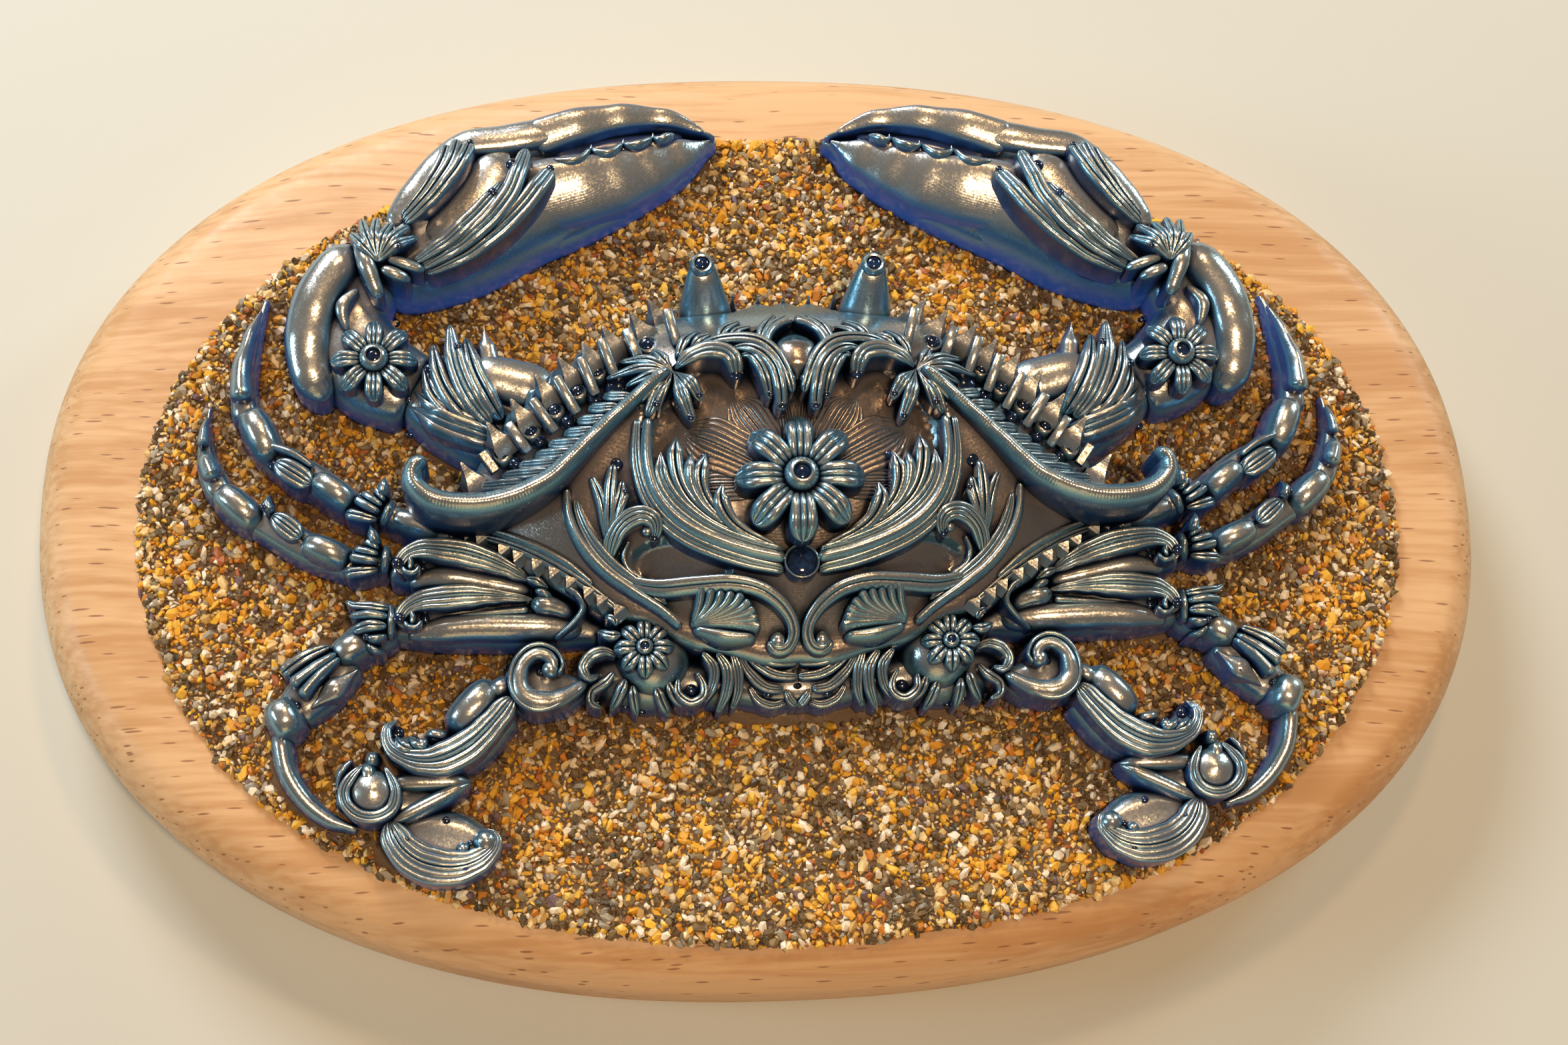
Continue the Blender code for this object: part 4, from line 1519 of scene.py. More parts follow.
            strokes.append(Stroke([fan_hub, middle, bend, (x, y)], (0.3, 0.8, 0.95, 1.1), 1,
                                  (0.6, 0.6, 0.5, 0.7), 0.7, depth=1.6))
        strokes.append(Stroke([(9.6, -12.2), (6.8, -13.1), (4, -13.2)], (0.9, 1.5, 1.1), 1, (0.5,), 0.7,
                              depth=2.4))
        strokes.append(Stroke([(9.4, -11.4), (7, -11.7), (4.6, -12)], (2.4, 3, 2), 1, (0.2,), 0.1, flute=0.0,
                              depth=2.4))
        return strokes

    def knobs(self) -> list[Stamp]:
        """Polished balls that end the curls."""
        return [Stamp(x, y, self.shell.height(x, y) + lift, size=(r, r, r))
                for x, y, r, lift in ((2, -13.3, 0.75, 0.2), (13.6, -4, 0.5, 0.3))]

    def frill(self) -> list[Stroke]:
        """The row of fluted tongues along the front of the horn scroll.

        Returns:
            The strokes.
        """
        tongues = ((14.6, 8.1, 17.2, 8.6), (15.6, 7.2, 18.6, 7.6), (16.6, 6.3, 19.6, 6.6),
                   (17.6, 5.3, 20.8, 5.6), (18.6, 4.4, 22.2, 4.8), (19.6, 3.6, 23.4, 4),
                   (20.6, 2.9, 24.9, 3.3), (21.8, 2.2, 26.4, 2.6), (23.6, 1.6, 28.4, 2))
        return [Stroke([(x0, y0), (0.5 * (x0 + x1), 0.5 * (y0 + y1) - 0.15), (x1, y1)],
                       (0.7, 1.05, 1.15, 1), 3, (0.3, 0.35 + 0.15 * (i % 2), -0.1), 0.45, depth=2.0)
                for i, (x0, y0, x1, y1) in enumerate(tongues)]

    @staticmethod
    def pits(tops: Sequence[Ground]) -> list[Stamp]:
        """Near-black discs at the leaf tips, on the highest of the surfaces there: painted shade of small
        hollows.

        Args:
            tops: The heights of the surfaces.

        Returns:
            The hollows.
        """
        places = [(1.5, 6.3, 0.45), (5.45, 9.3, 0.5), (8.8, 7.6, 0.35), (9.6, 5.6, 0.35), (12.6, 6.9, 0.35),
                  (16.1, 2.3, 0.6), (15.5, -0.6, 0.3), (13, -4.6, 0.4), (2.5, 7.3, 0.35), (8.3, 2.5, 0.4),
                  (8.5, 14.1, 0.3), (14.2, 7.2, 0.35)]
        return [Stamp(x, y, max(top(x, y) for top in tops), size=(r, r, 0.16)) for x, y, r in places]

    def beads(self) -> list[Stamp]:
        """The row of small pyramids along the rear moulding.

        Returns:
            Their places.
        """
        row = spline([(26.4, -4.1), (23.4, -5.7), (20.4, -7.5), (17.7, -9.3)], 2) + [(16.2, -10.2)]
        row += [(30.8, -1.9), (29.5, -2.3), (28.4, -2.9)]
        return [Stamp(x, y, self.shell.height(x, y) + 0.4, turn=(-0.8, 0.0, math.radians(-40.0)),
                      size=(0.75, 0.75, 0.9)) for x, y in row]


def pyramid() -> Object:
    """A three-sided pyramid of unit half width, with a side to -Y, to stamp.

    Returns:
        The template.
    """
    item = turned("pyramid", [(1, -1), (1, 0.1), (0.12, 0.95), (0.02, 1)], (0, 0, 0), 3)
    item.data.transform(Matrix.Rotation(math.radians(-30.0), 4, "Z"))
    return item


def dome() -> Object:
    """A unit ball with few faces, to stamp."""
    profile = [(max(math.cos(a), 0.02), math.sin(a)) for a in (math.radians(v) for v in range(-90, 91, 18))]
    return turned("dome", profile, (0, 0, 0), 14)


def peg() -> Object:
    """A square rod along +Y with trimmed edges, to stamp; four units long and one across.

    Returns:
        The template.
    """
    section = ((-0.5, -0.8), (0.5, -0.8), (0.5, 0.35), (0.38, 0.45), (-0.38, 0.45), (-0.5, 0.35))
    rings = [[Vector((full * x, y, 0.3 + full * z)) for x, z in section]
             for y, full in ((0, 0.8), (0.15, 1), (3.85, 1), (4, 0.8))]
    return ring_mesh("peg", rings)


def cone() -> Object:
    """A small hollow-sided spike of unit height, to stamp.

    Returns:
        The template.
    """
    profile = [(1, -0.6), (0.98, 0), (0.56, 0.28), (0.3, 0.62), (0.12, 0.94), (0.03, 1)]
    item = turned("cone", profile, (0, 0, 0), 4)
    item.data.transform(Matrix.Rotation(math.radians(45.0), 4, "Z"))
    return item


@dataclass
class Flower:
    """A rosette of fluted petals around a drilled hub."""

    centre: Point3
    radius: float
    hub: float
    ridges: int = 3
    fullness: float = 0.46
    petals: int = 8

    def build(self, shop: Workshop) -> list[Object]:
        """Makes the petals and the hub; the dark bottom of the hole, painted shade, comes from `hole`.

        Args:
            shop: The workshop.

        Returns:
            The petals and the hub.
        """
        r = self.radius
        width = self.fullness * r
        petal = shop.carve([Stroke(
            [(0.55 * self.hub, 0.0), (0.55 * r, 0.0), (r, 0.0)],
            (0.5 * width, 0.9 * width, width, 0.9 * width), self.ridges, (0.0, 0.16 * r, 0.15 * r, -0.07 * r),
            0.22, depth=0.4 * r, bank=0.0, step=0.28)], lambda x, y: 0.0)[0]
        x, y, z = self.centre
        stamps = [Stamp(x, y, z, turn=(0.0, 0.0, math.radians(a)), size=(1.0 + 0.05 * math.sin(3.0 * a),) * 3)
                  for a in range(-90, 270, 360 // self.petals)]
        made = [shop.stamp(petal, stamps)]
        discard(petal)
        dome = [(1, -0.3), (1, 0.45), (0.95, 0.8), (0.82, 1.1), (0.66, 1.28), (0.54, 1.3), (0.48, 1.2),
                (0.46, 0.6)]
        made.append(turned("hub", [(k * self.hub, h * self.hub) for k, h in dome], self.centre, 28))
        return made

    def hole(self) -> Stamp:
        """The dark bottom of the hub's hole: a near-black disc of painted shade.

        Returns:
            Where it goes.
        """
        x, y, z = self.centre
        size = 0.5 * self.hub
        return Stamp(x, y, z + 0.95 * self.hub, size=(size, size, 0.3 * size))


# --- Limbs ---


@dataclass
class Limb:
    """A length of limb: stations of (x, y, half width, top) and how it is rounded."""

    stations: Sequence[tuple[float, float, float, float]]
    drop: float = 0.3
    shoulder: float = 0.62
    samples: int = 5
    section: int = 19
    reach: float = 1.0
    polish: float = 1.0

    def build(self) -> Object:
        """Lofts the flat-bottomed, round-topped body.

        Returns:
            The body.
        """
        path = [list(station) for station in spline(self.stations, self.samples)]
        path = self._eased(path[0], path[1], start=True) + path + self._eased(path[-1], path[-2], start=False)
        rings = []
        for i, (x, y, half, top) in enumerate(path):
            ahead, behind = path[min(i + 1, len(path) - 1)], path[max(i - 1, 0)]
            dx, dy = ahead[0] - behind[0], ahead[1] - behind[1]
            length = max(math.hypot(dx, dy), 1e-9)
            ring = []
            for k in range(self.section):
                angle = math.pi * k / (self.section - 1)
                c, s = math.cos(angle), math.sin(angle)
                across = half * math.copysign(abs(c) ** self.shoulder, c)
                z = SAND_FOOT + (top - self.drop - SAND_FOOT) * s ** self.shoulder
                ring.append(Vector((x - across * dy / length, y + across * dx / length, z)))
            rings.append(ring)
        return ring_mesh("limb", rings, polish=self.polish)

    def _eased(self, end: Sequence[float], neighbour: Sequence[float], start: bool) -> list[list[float]]:
        """Extra stations that round an end off, far enough to meet the next length.

        Args:
            end: The last station.
            neighbour: The one next to it.
            start: Whether this is the limb's first end.

        Returns:
            The stations in order.
        """
        dx, dy = end[0] - neighbour[0], end[1] - neighbour[1]
        length = math.hypot(dx, dy)
        reach = self.reach
        made = []
        for angle in (30, 60, 85):
            c, s = math.cos(math.radians(angle)), math.sin(math.radians(angle))
            shrink = 0.7 + 0.3 * c
            made.append([end[0] + dx / length * reach * s, end[1] + dy / length * reach * s, end[2] * shrink,
                         end[3] * (0.86 + 0.14 * c)])
        return list(reversed(made)) if start else made


@dataclass
class Knob:
    """A turned boss on a limb: a profile of (radius, height), its foot's middle and the steps round it."""

    profile: Sequence[Point2]
    centre: Point3
    steps: int

    def build(self) -> Object:
        """Turns it."""
        return turned("knob", self.profile, self.centre, self.steps)


@dataclass
class LimbGroup:
    """Some lengths of limb with the carving on them, which make one piece a side."""

    name: str
    nodes: dict[str, Limb]
    strokes: Sequence[Stroke] = ()
    flowers: Sequence[Flower] = ()
    pits: Sequence[Point3] = ()  # x, y and radius
    extras: Sequence[Limb | Knob] = ()

    def build(self, shop: Workshop) -> None:
        """Makes the right and left pieces, and has painted shade stamped on their pits.

        Args:
            shop: The workshop.
        """
        bodies = [body.build() for body in (*self.nodes.values(), *self.extras)]
        whole = joined(bodies, self.name)
        ground = surface_of(whole)
        items = [whole] + (shop.carve(self.strokes, ground) if self.strokes else [])
        holes = []
        for flower in self.flowers:
            items += flower.build(shop)
            holes.append(flower.hole())
        whole = joined(items, self.name)
        top = surface_of(whole)
        # Near-black discs on the pits and in the flowers' holes: painted shade.
        holes += [Stamp(x, y, top(x, y), size=(r, r, 0.6 * r)) for x, y, r in self.pits]
        if holes:
            shop.dig(holes)
        shop.pair(self.name, [whole], replaces=list(self.nodes))


def claw_groups() -> list[LimbGroup]:
    """The claws: upper arm with its fans, elbow with its flower, palm, and the two fingers.

    Returns:
        Its groups, from the arm outwards.
    """
    fan = partial(Stroke, depth=2.8, rise=0.45, heights=(0.2, 0.7, 0.7, 0.2), tips=(Tip.ROUND, Tip.POINTED))
    wall = partial(walled, flute=0.0)
    leaf = partial(ledge, depth=3.0, rise=0.35)
    arm = [
        wall([(21, 11.2), (24.4, 12.3), (27.8, 13), (30.6, 12.4)], (3.6, 4.6, 4.4, 2.6), 1, (4.6, 5, 5.2, 5),
             0.55),
        wall([(27.6, 13.4), (27.7, 15.4), (28.1, 18.2)], (2.6, 1.8, 0.3), 1, (4.8, 5.2, 5.4), 0.8,
             tips=(Tip.ROUND, Tip.POINTED)),
        leaf([(26.4, 8.6), (27.7, 10.6), (28.9, 13.2), (29.7, 16.5)], (1.5, 2, 1.8, 0.8), 2,
             (5.8, 6.8, 6.9, 6.3)),
        leaf([(27.4, 8.2), (29.2, 10.4), (30.5, 13.6), (31.1, 17.7)], (1.5, 2, 1.9, 0.8), 3,
             (5.8, 6.9, 7.3, 6.7)),
        leaf([(28.6, 8.2), (30.6, 10), (32, 12.6), (32.7, 16)], (1.4, 1.9, 1.7, 0.7), 2, (5.4, 6.3, 6.5, 6)),
        leaf([(28.8, 7.8), (31, 9.2), (32.7, 11.2), (33.5, 13.9)], (1.3, 1.7, 1.5, 0.7), 2,
             (5.2, 5.9, 5.9, 5.5)),
        fan([(25.6, 6.6), (28.6, 7.2), (32.2, 8.6), (35.2, 10.8)], (1.6, 2.6, 2.4, 0.8), 3),
        fan([(26.6, 7.8), (29.8, 8.6), (32.8, 10.2), (34.8, 12.4)], (1.2, 2, 1.6, 0.5), 2),
    ]
    elbow = [
        wall([(42.6, 11.4), (44, 14.4), (44.2, 17.8), (43.4, 21), (41.8, 23.8), (39.6, 25.8)],
             (3.2, 4, 4.3, 4.3, 4, 3.4), 1, (3.6, 4.2, 4.9, 5.4, 5.6, 5.4), 0.75),
        wall([(40.6, 17.6), (41, 19.8), (39.6, 21.6)], (0.7, 1.3, 0.7), 1, (5.6, 6.2, 6), 0.8),
    ]
    node = (37.6, 23.4)
    leaf_ends = ((40.2, 26.6), (39.2, 28), (37.8, 28.2), (36.4, 27.7), (34.8, 27.4), (34, 26.2))
    knot = [ledge([node, (0.5 * (node[0] + x) + 0.2, 0.5 * (node[1] + y)), (x, y)], (0.5, 1.15, 0.75), 2,
                  (8.2, 8.6, 7.4), 0.6, depth=3.0) for x, y in leaf_ends]
    knot += [
        wall([(39.7, 26.6), (38.7, 23.4), (37.5, 20.2)], (1.1, 1.7, 1.3), 1, (7.4, 7.9, 6.9), 0.9),
        wall([(37.4, 23), (36.2, 22.5), (34.7, 22)], (1, 1.2, 1), 1, (7.6, 7.6, 7), 0.9),
        wall([(36.8, 23.9), (35.2, 23.4), (33.4, 22.9)], (0.9, 1.1, 0.9), 1, (7.8, 7.7, 7.2), 0.9),
    ]
    palm = [
        wall([(36.6, 28.2), (34.6, 31.2), (32, 34.4), (29.4, 36.4), (25.6, 37), (20.6, 38.2)],
             (2, 2.6, 2.8, 2.8, 3, 3), 1, (5.4, 5.8, 6, 6.2, 6.1, 5.7), 0.5),
        wall([(33.8, 25.4), (31.2, 27.4), (28.8, 30.2), (27.2, 33.4), (25.8, 36)], (3, 4.8, 5, 4.2, 2.6), 1,
             (5.6, 6, 6.1, 6.1, 6), 0.3),
        leaf([(35.5, 28.6), (33.9, 30.4), (32.5, 32.4), (31.7, 34.2), (31.3, 35.9)], (0.7, 1, 1.2, 1.2), 2,
             (6.9, 7.4, 7.8, 7.6, 7)),
        leaf([(35.4, 28.1), (33.5, 29.8), (31.8, 32), (30.8, 34), (30.3, 36.3)], (0.7, 1.1, 1.3, 1.2), 2,
             (7.1, 7.8, 8.3, 8.2, 7.4)),
        leaf([(35.2, 27.6), (33.1, 29.2), (31.1, 31.4), (29.8, 33.6), (29.1, 35.8)], (0.8, 1.3, 1.5, 1.3), 2,
             (7.3, 8.2, 8.8, 8.7, 7.8)),
        leaf([(34.6, 23.6), (31.6, 25.2), (29.2, 27.2), (27.4, 29.2), (26, 31.4)], (0.8, 1.4, 1.7, 1.6, 1), 3,
             (7.2, 8.2, 8.9, 9.1, 8.5)),
        leaf([(34, 23.1), (30.4, 24.8), (27.6, 27), (25.6, 29.6), (24.6, 32.2), (23.8, 35)],
             (0.8, 1.4, 1.8, 1.9, 1.8, 1.3), 3, (7, 8, 8.8, 9.1, 8.9, 8)),
        leaf([(33.2, 22.8), (29.6, 24.2), (26.6, 26.3), (24.4, 28.6), (22.8, 30.9), (21.5, 33)],
             (0.9, 1.5, 1.9, 2, 2, 1.7), 3, (6.8, 7.6, 8.3, 8.6, 8.5, 7.8)),
    ]
    teeth = [wall([(x, y - 1.2), (x - 0.1, y + 0.7)], (1.7, 1.2, 0.3), 1, (5.3 - 0.3 * i, 5.5 - 0.3 * i),
                  0.5, tips=(Tip.ROUND, Tip.POINTED))
             for i, (x, y) in enumerate(((17.7, 36.1), (14.6, 36.8), (11.7, 37.6)))]
    scallops = (((21.4, 34.6), (19.7, 34.5), (18.6, 34.9), (17.7, 36.1)),
                ((17.7, 36.1), (16.9, 35.6), (15.8, 35.6), (14.6, 36.8)),
                ((14.6, 36.8), (13.8, 36.5), (12.7, 36.8), (11.7, 37.6)),
                ((11.7, 37.6), (10.9, 37.3), (10.2, 37.7), (9.5, 38.1)))
    teeth += [ledge(path, (0.6, 1.15, 0.6), 1, (6.25 - 0.33 * i, 5.95 - 0.33 * i), 0.6, depth=2.5)
              for i, path in enumerate(scallops)]
    facet = [
        wall([(25.6, 30.2), (22.4, 31.5), (18.9, 32.3), (15.4, 33.3), (11.8, 34.9), (8.8, 36.5), (6, 38.3)],
             (6.4, 6.4, 6.2, 5.6, 4.5, 3, 0.7), 1, (4.9, 5, 4.9, 4.6, 4.2, 3.8, 3.3), 0.36, tilt=0.38),
        wall([(23.4, 37), (19.3, 38.5), (14.4, 39.8), (10, 40), (6.6, 39)], (3.4, 3.1, 2.4, 1.7, 0.7), 1,
             (6, 6.1, 5.6, 4.8, 3.9), 0.34, tilt=0.24),
    ]
    return [
        LimbGroup("claw_arm", {
            "claw_merus": Limb([(24.6, 7.6, 4, 5.4), (27.6, 9.4, 4.7, 6), (31, 11.6, 4.7, 6.4),
                                (33, 12.9, 4.2, 6.2)], drop=1.2),
        }, strokes=arm, pits=[(33, 13.4, 0.5), (35, 11.3, 0.45), (35.1, 9.2, 0.45), (30.3, 15.2, 0.35)]),
        LimbGroup("claw_elbow", {
            "claw_carpus": Limb([(35.2, 13, 4, 5.8), (38.4, 14.8, 4.6, 6.4), (40.4, 17.6, 4.4, 6.4),
                                 (40.8, 20.6, 4, 6.2), (39.4, 23.6, 3.6, 6.4)], drop=1.2),
        }, strokes=elbow + knot, flowers=[Flower((38, 14.3, 6.5), 4.0, 1.35, fullness=0.42)],
            pits=[(36.6, 20.6, 0.5), (35.6, 24.6, 0.35)]),
        LimbGroup("claw_palm", {
            "claw_palm": Limb([(38.3, 26.1, 3.4, 6), (35.6, 26, 4.8, 6.6), (31.2, 28.4, 6, 7.1),
                               (27, 31, 6.3, 7.2), (23, 32.6, 5.8, 6.6), (20.5, 33.4, 5.3, 5.6)], drop=0.7,
                              shoulder=0.78),
        }, strokes=palm, pits=[(27, 29.9, 0.45), (25.2, 33, 0.6), (21.6, 33, 0.4), (29.1, 35.6, 0.35)]),
        LimbGroup("claw_fingers", {
            "claw_outer_finger": Limb([
                (24.4, 36.6, 2.5, 6.3), (19.3, 38.6, 1.6, 6.5), (14.4, 39.9, 1.2, 5.9), (10, 40.1, 0.9, 5.1),
                (6.4, 39, 0.4, 4.2)], drop=0.4, shoulder=0.8),
            "claw_inner_finger": Limb([
                (23, 30.2, 3.6, 4.4), (20, 31.3, 3.4, 4.3), (16, 32.9, 2.9, 4), (12, 34.9, 2.4, 3.7),
                (9, 36.4, 1.75, 3.4), (6.2, 38.2, 0.45, 3.1)], drop=0.4, shoulder=0.7),
        }, strokes=facet + teeth,
            # A raised floor between the fingers, left bare of lustre so that it stays dark: painted shade of
            # the gap.
            extras=[Limb([(20.6, 36.4, 1.3, 4.9), (14.6, 37.6, 1.6, 4.4), (9.6, 38.6, 0.8, 3.9)],
                         polish=0.0)]),
    ]


def pod(start: Point2, end: Point2, half: float, top: float, foot: float = 1.2) -> Limb:
    """A long bead between two points, as a length of limb that swells in the middle.

    Args:
        start: One end.
        end: The other end.
        half: Half width at its middle.
        top: Height at its middle.
        foot: Height at its ends.

    Returns:
        The bead.
    """
    stations = []
    for i in range(9):
        t = i / 8
        full = max(1.0 - abs(2.0 * t - 1.0) ** 2.6, 0.02) ** (1.0 / 2.6)
        stations.append((start[0] + (end[0] - start[0]) * t, start[1] + (end[1] - start[1]) * t, half * full,
                         foot + (top - foot) * full))
    return Limb(stations, drop=0.0, shoulder=0.72, samples=3, reach=0.05)


def cuff(x: float, y: float, turn: float, level: float) -> list[Stroke]:
    """The pleated cuff that opens outwards from a wrist, with its thorn.

    Args:
        x: The wrist's X.
        y: The wrist's Y.
        turn: Direction of the limb in degrees.
        level: Height of the pleats.

    Returns:
        The ring round the wrist, four pleats and the thorn.
    """
    c, s = math.cos(math.radians(turn)), math.sin(math.radians(turn))

    def at(along: float, across: float) -> Point2:
        """A place along and across the limb."""
        return (x + along * c - across * s, y + along * s + across * c)

    pleats = (((0.3, -1), (1.9, -1.3), (3.3, -1.4), 1.1, 2, -0.7),
              ((0.3, -0.4), (1.6, -0.3), (2.9, 0), 0.8, 1, 0.1),
              ((0.3, 0.2), (1.4, 0.4), (2.5, 0.7), 0.7, 1, 0.3),
              ((0.3, 0.7), (1, 1.1), (1.6, 1.5), 0.7, 1, 0.2))
    made = [walled([at(*a), at(*b), at(*d)], (0.7 * w, w, 1.1 * w), ridges,
                   (level + lift, level + lift, level + lift - 0.5), 0.5)
            for a, b, d, w, ridges, lift in pleats]
    made.append(walled([at(0.5, 1), at(0.9, 1.9), at(1.3, 3)], (1.2, 1, 0.35), 1,
                       (level, level + 0.5, level - 0.1), 0.8, tips=(Tip.ROUND, Tip.POINTED)))
    made.append(walled([at(-0.15, -1.3), at(-0.35, 0), at(-0.15, 1.4)], (0.8, 0.9, 0.8), 1,
                       (level - 1.4, level, level - 1.2), 0.5))
    return made


def crescent(x: float, y: float, level: float) -> list[Stroke]:
    """The small bright curl between the two hollows at a band's end.

    Args:
        x: The curl's x.
        y: The curl's y.
        level: Its height.

    Returns:
        Its two strokes.
    """
    return [
        ledge([(x + 0.75, y + 0.45), (x + 0.35, y - 0.1), (x - 0.4, y - 0.1), (x - 0.8, y + 0.5)],
              (0.4, 0.55, 0.4), 1, (level,), 0.8, depth=1.5),
        ledge([(x + 0.1, y + 0.1), (x, y + 0.9), (x + 0.25, y + 1.5)], (0.5, 0.6, 0.4), 1, (level - 0.2,),
              0.7, depth=1.5),
    ]


